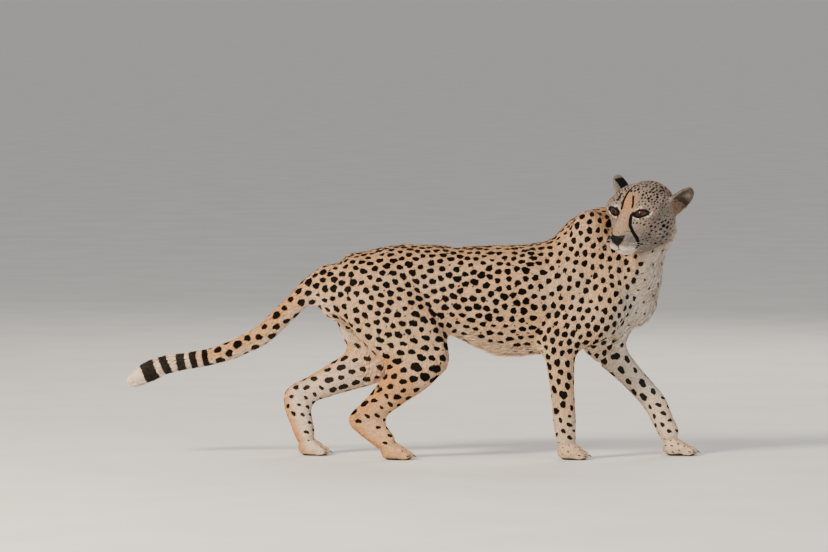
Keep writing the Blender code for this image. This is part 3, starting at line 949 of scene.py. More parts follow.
@dataclass
class SpotPlan:
    """What the spots are like at each vertex, and how much their radii vary."""

    spacing: Array
    radius: Array
    aspect: Array
    direction: Array
    variety: float

    def scattered(self, surface: Surface, rng: Chance, tries: float) -> Spots:
        """Scatters spots so that none is nearer to another than the spacing there.

        Args:
            surface: the skin.
            rng: the source of chance.
            tries: how many places are tried for each spot that could fit.

        Returns:
            The spots.
        """
        normals = surface.normals()
        area = norms(surface.face_crosses()) / 2
        spacing = self.spacing[surface.tris].mean(axis=1)
        weight = np.where(spacing < FAR / 2, area / spacing**2, 0)
        count = int(tries * weight.sum())
        tri, share = scatter(weight, count, rng)
        corners = surface.tris[tri]

        def at(values: Array) -> Array:
            """The values at the tried places."""
            return blend(values, corners, share)

        places, gaps = at(surface.points), at(self.spacing)
        radius, aspect = at(self.radius), at(self.aspect)
        normal = unit(at(normals))
        along = unit(laid(at(self.direction), normal))
        stretch = np.sqrt(aspect)
        across = np.cross(normal, along)
        kept, cell = [], float(gaps.max())
        grid: dict[tuple[int, ...], list[int]] = {}
        keys = np.floor(places / cell).astype(int)
        for k in range(count):
            x, y, z = (int(value) for value in keys[k])
            around = [(x + i, y + j, z + m) for i in (-1, 0, 1) for j in (-1, 0, 1) for m in (-1, 0, 1)]
            near = [other for key in around for other in grid.get(key, ())]
            if near:
                away = places[near] - places[k]
                a, b, h = away @ along[k], away @ across[k], away @ normal[k]
                gap = np.sqrt((a / stretch[k]) ** 2 + (b * stretch[k]) ** 2 + h**2)
                if (gap < gaps[k]).any():
                    continue
            kept.append(k)
            grid.setdefault((x, y, z), []).append(k)
        kept = np.array(kept)
        places = relaxed(places, kept, gaps, normal)
        size = radius[kept] * rng.normal(1, self.variety, len(kept)).clip(0.45, 1.6)
        phases = rng.uniform(0, 2 * np.pi, (len(kept), 3))
        return Spots(places[kept], normal[kept], along[kept], size, stretch[kept], phases)


def relaxed(places: Array, kept: Array, gaps: Array, normals: Array) -> Array:
    """Lets the kept places push each other apart along the skin, a share of the way at a time.

    Args:
        places: the tried places.
        kept: the numbers of the kept ones.
        gaps: the spacing at each tried place.
        normals: the skin's normals there.

    Returns:
        The places, with the kept ones about 1.35 spacings apart.
    """
    places = places.copy()
    where, gap, normal = places[kept], gaps[kept], normals[kept]
    tree = kdtree.KDTree(len(where))
    for k, place in enumerate(where):
        tree.insert(place, k)
    tree.balance()
    pairs = [(k, other) for k, place in enumerate(where)
             for _, other, _ in tree.find_range(place, 1.9 * gap[k]) if other != k]
    first, second = np.array(pairs).T
    for _ in range(14):
        away = where[first] - where[second]
        reach = norms(away)
        push = np.clip(1.35 * gap[first] - reach, 0, None) / reach
        step = np.stack([np.bincount(first, away[:, k] * push, len(where)) for k in range(3)], axis=1)
        where = where + 0.12 * laid(step, normal)
    places[kept] = where
    return places


def scatter(weight: Array, count: int, rng: Chance) -> tuple[Array, Array]:
    """Random places on triangles.

    Args:
        weight: each triangle's share of the places.
        count: the number of places.
        rng: the source of chance.

    Returns:
        The triangles' numbers and the places' three corner shares.
    """
    total = np.cumsum(weight)
    tri = np.searchsorted(total, rng.uniform(0, total[-1], count))
    first, second = np.sqrt(rng.uniform(0, 1, count)), rng.uniform(0, 1, count)
    return tri, np.stack([1 - first, first * (1 - second), first * second], axis=1)


def blend(values: Array, corners: Array, share: Array) -> Array:
    """Values at places inside triangles, from the values at the corners."""
    return np.einsum("nk,nk...->n...", share, values[corners])


# The hide: the skin's own shape, colours and lie of the coat

# The trunk's lowest line, as (x, z) from the middle.
BELLY = ((-0.255, 0.446), (-0.205, 0.378), (-0.123, 0.372), (-0.04, 0.39), (0.056, 0.393), (0.101, 0.36),
         (0.171, 0.323), (0.255, 0.295), (0.339, 0.291), (0.448, 0.314), (0.54, 0.333), (0.596, 0.349),
         (0.64, 0.374), (0.668, 0.408))
BACK = ((-0.255, 0.545), (-0.205, 0.557), (-0.123, 0.585), (-0.04, 0.599), (0.339, 0.605), (0.38, 0.619),
        (0.409, 0.644), (0.445, 0.675), (0.487, 0.697), (0.523, 0.705), (0.6, 0.69), (0.668, 0.64))

# Soft folds on either side, as (x, z) from the middle, with half width and depth in millimetres.
FOLDS = (
    (((0.098, 0.318), (0.08, 0.37), (0.052, 0.43), (0.012, 0.485)), 9, 4.0),
    (((0.012, 0.485), (-0.03, 0.54)), 16, 3.5),
    (((0.34, 0.335), (0.362, 0.372), (0.392, 0.42)), 8, 3.5),
    (((0.392, 0.42), (0.366, 0.5), (0.38, 0.575)), 18, 4.0),
    (((0.56, 0.64), (0.582, 0.585), (0.59, 0.53)), 12, 4.0),
    (((0.628, 0.575), (0.632, 0.52), (0.618, 0.465)), 10, 3.5),
    (((0.47, 0.6), (0.49, 0.5), (0.475, 0.4)), 16, 3.0),
    (((-0.077, 0.24), (-0.118, 0.18), (-0.148, 0.142)), 7, 3.5),
    (((-0.118, 0.266), (-0.246, 0.225), (-0.317, 0.191)), 7, 3.5),
    (((0.4, 0.23), (0.405, 0.13)), 6, 2.5),
)


@dataclass
class Hide:
    """The skin below its coat, with a value at each vertex for all that the coat needs."""

    surface: Surface
    zones: Array
    face: Face
    masks: dict[str, Array] = field(default_factory=dict)
    coat: dict[str, Array] = field(default_factory=dict)
    lie: Array = field(default=None)

    def __post_init__(self) -> None:
        """Measures the skin before it is changed."""
        self.measure()

    def measure(self) -> None:
        """Keeps the vertices' normals, and their places from the middle and in the head's frame."""
        self.normals = self.surface.normals()
        self.layout = self.surface.points - MIDDLE
        self.in_head = HEAD.inward(self.surface.points)

    def is_in(self, *zones: Zone) -> Array:
        """Whether each vertex is in one of the zones."""
        return np.isin(self.zones, [zone.value for zone in zones])

    def is_on(self, ear: Ear) -> Array:
        """Whether each vertex is on this ear."""
        return self.is_in(Zone.EAR) & (self.in_head[:, 1] * ear.side.value > 0)

    def inner(self) -> Array:
        """How much each vertex faces the middle plane, from -1 to 1."""
        return -np.sign(self.layout[:, 1]) * self.normals[:, 1]

    def belly(self) -> Array:
        """The height of the trunk's lowest line below each vertex."""
        return np.interp(self.layout[:, 0], *np.array(BELLY).T)

    def height_share(self) -> Array:
        """How high each vertex is between the trunk's lowest and highest lines, from 0 to 1."""
        belly, back = (np.interp(self.layout[:, 0], *np.array(line).T) for line in (BELLY, BACK))
        return (self.layout[:, 2] - belly) / (back - belly)

    def settle_coat(self) -> None:
        """Sets the coat's depth, length, width, lift and density, and blends them over seams."""
        for name, unit_size in {"depth": MM, "length": MM, "width": MM, "lift": MM, "density": 1.0}.items():
            table = np.array([getattr(COATS[zone], name) * unit_size for zone in Zone])
            self.coat[name] = table[self.zones]
        x, _, z = self.layout.T
        low = 1 - ease(0.0, 0.035, z - self.belly())
        shaggy = np.exp(-(((x - 0.275) / 0.085) ** 2))
        belly = np.where(self.is_in(Zone.TRUNK), low * ease(0.1, 0.7, -self.normals[:, 2]), 0)
        throat = np.where(self.is_in(Zone.NECK, Zone.TRUNK), self.bib(), 0)
        groin = np.where(self.is_in(Zone.HIND_UPPER), ease(0.2, 0.7, self.inner()), 0)
        hx, hy, hz = self.in_head.T
        head = self.is_in(Zone.HEAD)
        front = np.where(head, ease(0.045, 0.105, hx), 0)
        jowl = np.where(head, ease(0.045, 0.07, np.abs(hy) - 0.35 * hz) * (1 - front), 0)
        toe = np.where(self.is_in(Zone.PAW), 1 - ease(0.03, 0.07, z), 0)
        self.coat["length"] += belly * (6 + 24 * shaggy) * MM + throat * 9 * MM + groin * 6 * MM
        self.coat["length"] += jowl * 4.5 * MM - front * 2.9 * MM - toe * 0.8 * MM
        self.coat["lift"] += belly * (1.5 + 10.5 * shaggy) * MM + throat * 2.2 * MM + groin * 3.0 * MM
        self.coat["lift"] += jowl * 1.6 * MM - front * 0.55 * MM
        self.coat["width"] += belly * 0.4 * MM - front * 0.25 * MM - toe * 0.15 * MM
        self.coat["depth"] += belly * (1.0 + 2.5 * shaggy) * MM + jowl * 1.0 * MM - front * 0.7 * MM
        self.coat["density"] *= 1 + 0.55 * front
        for name, values in self.coat.items():
            self.coat[name] = self.surface.diffused(values, 6)[:, 0]

    def bib(self) -> Array:
        """Tells the throat and breast by each vertex's facing and place.

        Returns:
            How far each vertex is on them, from 0 to 1.
        """
        far = ease(-0.01, 0.05, self.layout[:, 1])
        facing = self.normals @ unit(np.array([0.87, -0.26, -0.42]))
        facing = ease(0.35 + 0.25 * far, 0.85 + 0.13 * far, facing)
        edge = np.interp(self.layout[:, 2], (0.34, 0.4, 0.44, 0.5, 0.62), (0.52, 0.56, 0.59, 0.632, 0.634))
        edge = edge + 0.05 * far + 0.01 * waves(self.layout, 0.02, 4.0)
        front = ease(-0.016, 0.026, self.layout[:, 0] - edge)
        return np.maximum(facing * ease(0.5, 0.58, self.layout[:, 0]), front)

    def sink(self, push: float) -> None:
        """Sinks the skin below the solids by the coat's depth, and keeps the soles on the floor.

        Args:
            push: how far the skin was cast outside of the solids.
        """
        sole = 1 - ease(0.004, 0.012, self.surface.points[:, 2])
        depth = mix(self.coat["depth"] + push, push, sole)
        self.surface.points -= self.normals * depth[:, None]
        self.crease()
        self.surface.points[:, 2] = np.maximum(self.surface.points[:, 2], 0)
        self.measure()

    def crease(self) -> None:
        """Presses soft folds into the flanks, neck and legs, and grooves between the toes."""
        x, y, z = self.layout.T
        flat = np.stack([x, z], axis=1)
        pressed = np.zeros(len(x))
        for path, width, depth in FOLDS:
            bell = np.exp(-((to_segments(flat, path)[0] / (width * MM)) ** 2))
            pressed += depth * MM * bell * (np.abs(self.normals[:, 1]) > 0.3)
        pressed[self.is_in(Zone.HEAD, Zone.EAR, Zone.TAIL, Zone.TAIL_TIP, Zone.PAW)] = 0
        for (leg, side), front in TOES.items():
            middle = leg_joints(leg, side)[-1][1] - MIDDLE[1]
            ours = (np.abs(y - middle) < 0.045) & (x > front - 0.048) & (x < front + 0.02) & (z < 0.045)
            for place in (-1, 0, 1):
                away = y - (middle + place * TOE_SPREAD[leg])
                back = ease(0.05, 0.034, front - TOE_SET_BACK * abs(place) * 0.5 - x)
                pressed += np.where(ours, 2.2 * MM * np.exp(-((away / (1.7 * MM)) ** 2)) * back, 0)
        self.surface.points -= self.normals * pressed[:, None]

    def shape_face(self) -> None:
        """Lets the face sculpt the head, after its triangles there were made smaller."""
        moved = self.face.sculpt(self.in_head, self.normals @ HEAD.axes())
        head = self.is_in(Zone.HEAD)
        self.surface.points = np.where(head[:, None], HEAD.outward(moved), self.surface.points)
        self.measure()

    def comb(self) -> None:
        """Sets the lie of the coat and spreads it over the seams between the zones."""
        raw = np.tile(np.array([-1.0, 0.0, -0.35]), (len(self.zones), 1))
        raw[self.is_in(Zone.NECK)] = (-0.65, 0.0, -0.76)
        from_nose = unit(self.in_head - [0.15, 0.0, -0.05])
        raw = np.where(self.is_in(Zone.HEAD)[:, None], from_nose @ HEAD.axes().T, raw)
        for ear in EARS:
            raw[self.is_on(ear)] = HEAD.axes() @ ear.axes()[1]
        path = np.array(TAIL)
        runs = unit(np.diff(path, axis=0))
        tail = self.is_in(Zone.TAIL, Zone.TAIL_TIP)
        raw[tail] = runs[to_segments(self.layout[tail], path)[1]]
        raw[self.is_in(Zone.FORE_UPPER)] = (-0.25, 0.0, -1.0)
        raw[self.is_in(Zone.HIND_UPPER)] = (-0.35, 0.0, -0.93)
        for leg, side in LEGS:
            path = leg_joints(leg, side)
            path = np.vstack([path, [TOES[leg, side] + MIDDLE[0], path[-1][1], 0.01]])
            runs = unit(np.diff(path, axis=0))
            near = to_segments(self.surface.points, path)
            ours = self.is_in(Zone.PAW, Zone[f"{leg.name}_LOWER"]) & (near[0] < 0.09)
            ours &= np.sign(self.layout[:, 1]) == side.value
            ours &= (self.layout[:, 0] > FORE_FROM) == (leg is Leg.FORE)
            raw[ours] = runs[near[1][ours]]
        for _ in range(3):
            raw = self.surface.diffused(unit(laid(raw, self.normals)), 5)
        self.lie = unit(laid(raw, self.normals))

    def colour(self) -> None:
        """Sets how pale, warm, grey and leathery the hide is, and how much painted shade it has, from 0 to 1.
        """
        self.colour_body()
        self.colour_head()
        for ear in EARS:
            self.colour_ear(ear)
        head = self.is_in(Zone.HEAD, Zone.EAR)
        seam = self.surface.diffused(head.astype(float), 40)[:, 0]
        seam = np.clip(4 * seam * (1 - seam), 0, 1)
        for name, values in self.masks.items():
            calm = self.surface.diffused(values, 2 if name == "painted_shade" else 5)[:, 0]
            calm = np.where(head, mix(values, calm, 0.5), calm)
            self.masks[name] = mix(calm, self.surface.diffused(calm, 60)[:, 0], seam)
        self.masks["leather"] = self.leather()

    def colour_body(self) -> None:
        """Colours all but the head: paler below and inside, warmer above, behind and on the tail."""
        x, _, z = self.layout.T
        normal_z, inner = self.normals[:, 2], self.inner()
        trunk, neck, thigh, forearm, shank, paw = (self.is_in(zone) for zone in BODY)
        tail, upper = self.is_in(Zone.TAIL, Zone.TAIL_TIP), self.is_in(Zone.FORE_UPPER)
        leg = thigh | forearm | paw | upper | shank
        low = 1 - ease(0.006, 0.05, z - self.belly())
        under = np.maximum(low * ease(-0.25, 0.45, -normal_z), ease(0.55, 0.95, -normal_z))
        bib = np.where(trunk | neck | upper, self.bib(), 0)
        groin = np.where(thigh, ease(0.05, 0.6, inner) * ease(0.3, 0.38, z), 0)
        ringed = ease(-0.57, -0.63, x)
        heel = (paw | shank) & (x < 0.2)
        rear = ease(0.0, 0.6, -self.normals[:, 0])

        pale = np.where(trunk, 0.7 * under, 0)
        pale = np.where(leg, 0.1 + np.where(x < 0.2, 0.72, 0.56) * ease(0.05, 0.75, inner), pale)
        pale = np.maximum(pale, np.maximum(0.55 * bib, 0.85 * groin))
        pale = np.where(paw, np.maximum(pale, 0.35), pale)
        pale = np.where(tail, np.maximum(0.08 + 0.7 * ease(-0.1, 0.7, -normal_z), 0.72 * ringed), pale)
        pale = np.where(tail & (x < -0.745), 1.0, pale)
        self.masks["pale"] = np.where(heel, pale * (1 - 0.75 * rear), pale)

        warm = np.where(trunk | leg, 0.32 + 0.22 * ease(0.1, 0.8, normal_z), 0.5)
        warm = np.where(trunk, np.maximum(warm, 0.55 * low * (x < 0.45)), warm)
        warm = np.where(thigh & (inner > 0), 0.65 - 0.35 * groin, warm)
        warm = np.where(forearm & (inner > 0), 0.2, warm)
        warm = np.where(tail, 0.8 - 0.35 * ease(0.0, 0.7, -normal_z) - 0.35 * ringed, warm)
        warm = mix(warm, 0.2, bib)
        warm = np.where(heel, 0.95 - (0.15 + 0.5 * ease(0.0, 0.6, inner)) * (1 - rear), warm)
        self.masks["warm"] = np.where(neck, mix(0.55, 0.2, bib), warm)
        self.masks["grey"] = np.where(forearm, 0.3 * ease(-0.1, 0.6, inner), 0.7 * bib)
        # Painted shade along the top of the back.
        ridge = ease(0.8, 0.97, self.height_share()) * ease(0.35, 0.8, normal_z)
        self.masks["painted_shade"] = 0.2 * trunk * ridge

    def colour_head(self) -> None:
        """Colours the head: greyish, white by the eyes and mouth, and warmer on the bridge and behind."""
        hx, hy, hz = self.in_head.T
        bridge = (1 - ease(0.012, 0.03, np.abs(hy))) * ease(0.07, 0.1, hx) * ease(-0.04, -0.025, hz)
        brow = bridge * ease(0.015, 0.045, hz) * (1 - ease(0.07, 0.09, hz))
        bridge *= 1 - 0.7 * ease(0.06, 0.09, hz)
        back, under = ease(0.045, -0.015, hx), ease(0.0, -0.06, hz)
        warm = 0.15 + 0.3 * bridge + 0.45 * brow
        grey = 0.78 - 0.36 * bridge - 0.14 * brow + 0.15 * ease(0.0, -0.05, hz)
        # Painted shade along the mouth's line.
        lips = 0.5 * (1 - ease(0.8 * MM, 2.0 * MM, self.mouth_gap()))
        made = {
            "pale": np.maximum(self.face.pale(self.in_head), 0.45 * back * under),
            "warm": mix(warm, 0.26 - 0.1 * under, back),
            "grey": mix(grey, 0.3 + 0.3 * under, back),
            # Painted shade: a little over the whole head, more at its back above the jaw.
            "painted_shade": np.maximum(lips, 0.1 + 0.42 * back * (1 - under)),
        }
        for name, values in made.items():
            self.masks[name] = np.where(self.is_in(Zone.HEAD), values, self.masks[name])

    def colour_ear(self, ear: Ear) -> None:
        """Colours one ear: painted shade that is deepest inside, with a pale tuft and a pale edge.

        Args:
            ear: the ear.
        """
        up_share, across_share = ear.shares(self.in_head)
        _, up, opening, _ = ear.axes()
        inside = ease(-0.1, 0.4, self.normals @ HEAD.axes() @ opening)
        deep = inside * (1 - ease(0.45, 0.85, np.abs(across_share))) * (1 - ease(0.7, 0.98, up_share))
        lower = -np.sign((HEAD.axes() @ np.cross(up, opening))[2]) * across_share
        base = inside * ease(-0.3, 0.3, lower) * (1 - ease(0.58, 0.76, up_share))
        tuft = inside * np.exp(-(((up_share - 0.74) / 0.08) ** 2) - (((lower - 0.35) / 0.25) ** 2))
        made = {
            "pale": np.maximum(0.3 * ease(0.8, 0.98, np.abs(across_share)), 0.5 * tuft),
            "warm": 0.1,
            "grey": 0.8,
            # Painted shade over the whole ear, deepest inside it and at the base of its opening, less on the
            # tuft.
            "painted_shade": np.maximum(0.34 + 0.35 * deep, 0.97 * base) * (1 - 0.6 * tuft),
        }
        for name, values in made.items():
            self.masks[name] = np.where(self.is_on(ear), values, self.masks[name])

    def leather(self) -> Array:
        """Finds the bare leather: the nose, the lids' edges and the pads.

        Returns:
            Its share at each vertex.
        """
        best = 1 - ease(-0.3 * MM, 0.9 * MM, self.face.nose_gap(self.in_head))
        for socket in SOCKETS:
            best = np.maximum(best, 1 - ease(0.6 * MM, 1.6 * MM, socket.gap(self.in_head)))
        best = np.where(self.is_in(Zone.HEAD), best, 0)
        pad = self.is_in(Zone.PAW) & (self.layout[:, 2] < 0.01)
        return np.where(pad, ease(0.55, 0.8, -self.normals[:, 2]), best)

    def mouth_gap(self) -> Array:
        """Each vertex's distance from the line of the mouth."""
        normals = self.normals @ HEAD.axes()
        return path_gap(self.face.folded(self.in_head), self.face.facing(self.in_head, normals), MOUTH)[0]

    def thin_out(self) -> None:
        """Leaves no coat on leather, in the lids' openings, on the lips' line and on the soles."""
        bare = self.masks["leather"] > 0.35
        bare |= self.is_in(Zone.HEAD) & (self.mouth_gap() < 1.2 * MM)
        for socket in SOCKETS:
            bare |= socket.gap(self.in_head) < 1.9 * MM
        bare |= self.is_in(Zone.PAW) & (self.layout[:, 2] < 0.006) & (self.normals[:, 2] < -0.5)
        self.coat["density"] = np.where(bare, 0, self.coat["density"])


@dataclass
class Markings:
    """All that is black on the coat: spots, rings, the face's lines and the ears' backs."""

    hide: Hide
    spots: list[Spots] = field(default_factory=list)
    rings: tuple[tuple[float, float], ...] = (
        (-0.737, 0.019), (-0.694, 0.0115), (-0.652, 0.0115), (-0.616, 0.01), (-0.583, 0.008),
    )

    def scatter(self, rng: Chance) -> None:
        """Scatters the large spots, the head's small ones, and the specks between the large ones.

        Args:
            rng: the source of chance.
        """
        plans = (self.body_plan(), self.head_plan(), self.speck_plan())
        self.spots = [plan.scattered(self.hide.surface, rng, 14) for plan in plans]
        LOG.info("markings: %d spots", sum(len(spots.places) for spots in self.spots))

    def body_plan(self) -> SpotPlan:
        """Plans the spots of all but the head and ears.

        Each row of the table holds a region, and its spacing, radius in millimetres, aspect
        and long direction. A later row holds where regions overlap.

        Returns:
            The plan.
        """
        hide = self.hide
        x, y, z = hide.layout.T
        normal_z, inner, high, bib = hide.normals[:, 2], hide.inner(), hide.height_share(), hide.bib() > 0.4
        trunk, neck, thigh, forearm, shank, paw = (hide.is_in(zone) for zone in BODY)
        rows = (
            (np.ones(len(x), bool), 0.0214, 9.6, 1.12, (1, 0, -0.1)),
            (trunk & (high > 0.8), 0.018, 8.3, 1.3, (1, 0, 0)),
            (trunk & (high > 0.93), 0.0158, 7.6, 1.5, (1, 0, 0)),
            (trunk & (high < 0.3), 0.022, 8.7, 1.4, (1, 0, 0)),
            (trunk & (normal_z < -0.72), 0.04, 5.5, 1.3, (1, 0, 0)),
            (trunk & (x > 0.4), 0.0194, 8.2, 1.2, (0.35, 0, 1)),
            (trunk & (x > 0.4) & (high > 0.85), 0.0165, 6.8, 1.3, (1, 0, 0.3)),
            (thigh, 0.0214, 9.4, 1.25, (1, 0, -0.45)),
            (thigh & (z < 0.36), 0.0245, 10.2, 1.5, (1, 0, -0.3)),
            (thigh & (z < 0.29) & (inner < 0), 0.029, 12.2, 1.4, (1, 0, -0.2)),
            (thigh & (z > 0.3) & (inner > 0.35), 0.044, 7, 1.3, (1, 0, -0.3)),
            (hide.is_in(Zone.FORE_UPPER), 0.02, 8.3, 1.2, (0.3, 0, 1)),
            (neck, 0.0176, 7.2, 1.25, (0.1, 0, 1)),
            ((neck | trunk) & bib, 0.027, 4.4, 1.3, (0.2, 0, 1)),
            (neck & bib & (y > 0), 0.019, 5.8, 1.3, (0.2, 0, 1)),
            (forearm, 0.0222, 9.8, 1.3, (0.4, 0, -1)),
            (forearm & (inner > 0.2), 0.032, 10.0, 1.4, (0.6, 0, -1)),
            (shank, 0.0255, 9.6, 1.45, (1, 0, 0.25)),
            (paw, 0.0215, 6.4, 1.6, (0.5, 1, -0.3)),
            (paw & (z < 0.05), 0.014, 2.8, 1.7, (1, 0, -0.3)),
            (hide.is_in(Zone.TAIL), 0.0252, 10.4, 1.2, (1, 0, 0.3)),
        )
        spacing, radius, aspect, along = (np.zeros((len(x), *shape)) for shape in ((), (), (), (3,)))
        for where, gap, size, ratio, way in rows:
            spacing[where], radius[where], aspect[where], along[where] = gap, size * MM, ratio, way
        bare = hide.is_in(Zone.HEAD, Zone.EAR, Zone.TAIL_TIP) | (hide.is_in(Zone.TAIL) & (x < -0.57))
        bare |= paw & (z < 0.012)
        bare |= (shank | paw) & (x < 0.2) & (z < 0.105) & (hide.normals[:, 0] < 0.1)
        spacing[bare], radius[bare], aspect[bare] = FAR, 0.0, 1.0
        return SpotPlan(spacing, radius, aspect, along, 0.11)

    def head_plan(self) -> SpotPlan:
        """Plans the small spots of the head.

        Returns:
            The plan, with only freckles on the bridge and none on the muzzle, chin and lids.
        """
        hide = self.hide
        hx, hy, hz = hide.in_head.T
        count = len(hx)
        spacing, radius = np.full(count, 0.0076), np.full(count, 2.0 * MM)
        aspect, along = np.full(count, 1.5), hide.lie.copy()
        crown = ease(0.048, 0.072, hz)
        outer = ease(0.052, 0.066, np.abs(hy)) * (1 - ease(-0.01, 0.02, hz))
        behind = ease(0.02, -0.04, hx) * ease(-0.06, -0.02, hz)
        spacing += 0.0006 * crown + 0.004 * outer + 0.0075 * behind
        radius += 1.4 * MM * crown + 1.5 * MM * outer + 2.4 * MM * behind
        bridge = (np.abs(hy) < 0.026) & (hx > 0.086)
        muzzle = (hx > 0.105) & (hz < 0.0)
        chin = (hz < -0.06 + 0.02 * ease(0.03, -0.03, hx)) & (np.abs(hy) < 0.09)
        lids = np.min([socket.gap(hide.in_head) for socket in SOCKETS], axis=0) < 8 * MM
        outside = ~hide.is_in(Zone.HEAD) | bridge | muzzle | chin | lids
        spacing[outside], radius[outside] = FAR, 0.0
        freckled = bridge & (hz > -0.025) & (hz < 0.075) & hide.is_in(Zone.HEAD)
        spacing[freckled], radius[freckled] = 0.0075, 1.0 * MM
        return SpotPlan(spacing, radius, aspect, along, 0.28)

    def speck_plan(self) -> SpotPlan:
        """Plans the small specks between the spots of the trunk, the neck and the upper legs.

        Returns:
            The plan.
        """
        hide = self.hide
        here = hide.is_in(Zone.TRUNK, Zone.NECK, Zone.FORE_UPPER, Zone.HIND_UPPER)
        here &= hide.masks["pale"] < 0.3
        spacing, radius = np.where(here, 0.024, FAR), np.where(here, 2.2 * MM, 0.0)
        return SpotPlan(spacing, radius, np.full(len(here), 1.3), hide.lie.copy(), 0.4)

    def at(self, points: Array, zones: Array, normals: Array) -> Array:
        """The distance in millimetres from the nearest black edge, below zero in the black.

        Args:
            points: places in the model.
            zones: their zone numbers.
            normals: the skin's normals there.

        Returns:
            The distances, cut off at 6 mm.
        """
        best = np.full(len(points), 6 * MM)
        head = np.isin(zones, [Zone.HEAD.value, Zone.EAR.value])
        body = ~head
        large, small = (spots.distances(points[body], 0.03, 6 * MM) for spots in self.spots[::2])
        best[body] = np.minimum(large, small)
        best[head] = self.spots[1].distances(points[head], 0.012, 6 * MM)
        in_head = HEAD.inward(points[head])
        lines = self.hide.face.lines(in_head, normals[head] @ HEAD.axes())
        face = np.where(zones[head] == Zone.HEAD.value, lines, FAR)
        patches = self.ear_backs(in_head, normals[head], zones[head])
        best[head] = np.minimum(best[head], np.minimum(face, patches))
        tail = np.isin(zones, [Zone.TAIL.value, Zone.TAIL_TIP.value])
        best[tail] = np.minimum(best[tail], self.ring_gaps(points[tail]))
        return np.clip(best / MM, -6, 6)

    def ring_gaps(self, points: Array) -> Array:
        """The distance from the tail's rings, measured along the tail.

        Args:
            points: places on the tail.

        Returns:
            The distances, below zero in a ring.
        """
        path = np.array(TAIL)
        lengths = np.concatenate([[0], np.cumsum(norms(np.diff(path, axis=0)))])
        along = to_segments(points - MIDDLE, path)[2]
        along = along + 2.5 * MM * waves(points, 0.011, 1.0)
        best = np.full(len(points), FAR)
        for place, half in self.rings:
            centre = np.interp(-place, -path[:, 0], lengths)
            best = np.minimum(best, np.abs(along - centre) - half * 1.05)
        return best

    def ear_backs(self, points: Array, normals: Array, zones: Array) -> Array:
        """The distance from the black patch on the back of each ear.

        Args:
            points: points of the head's frame.
            normals: the skin's normals in the model.
            zones: the points' zone numbers.

        Returns:
            The distances, below zero in a patch.
        """
        best = np.full(len(points), FAR)
        for ear in EARS:
            up_share, across_share = ear.shares(points)
            _, up, opening, height = ear.axes()
            ragged = 1.6 * MM * waves(points, 0.0035, 3.0)
            rear = -np.sign(np.cross(up, opening)[0]) * across_share
            across_gap = (np.abs(rear - 0.12) - 0.74) * ear.width / 2 + ragged
            up_gap = np.abs(up_share - 0.4) * height - 0.46 * height + ragged
            behind = normals @ HEAD.axes() @ opening < -0.15
            ours = behind & (points[:, 1] * ear.side.value > 0) & (zones == Zone.EAR.value)
            best = np.where(ours, np.maximum(across_gap, up_gap), best)
        return best


# The coat


@dataclass(frozen=True)
class Wrap:
    """An unwrap round a path: u runs along the path and v round it."""

    path: Array

    def at(self, points: Array) -> tuple[Array, Array]:
        """Unwraps points.

        Args:
            points: n points.

        Returns:
            Their shares along the path and round it, from 0 to 1.
        """
        _, run, along = to_segments(points, self.path)
        steps = np.diff(self.path, axis=0)
        total = norms(steps).sum()
        whole = unit(self.path[-1] - self.path[0])
        level = np.eye(3)[int(np.argmin(np.abs(whole)))]
        first = unit(np.cross(whole, level))
        second = np.cross(whole, first)
        out = laid(points - self.path[run], unit(steps[run]))
        return along / total, np.arctan2(out @ first, out @ second) / (2 * np.pi) + 0.5


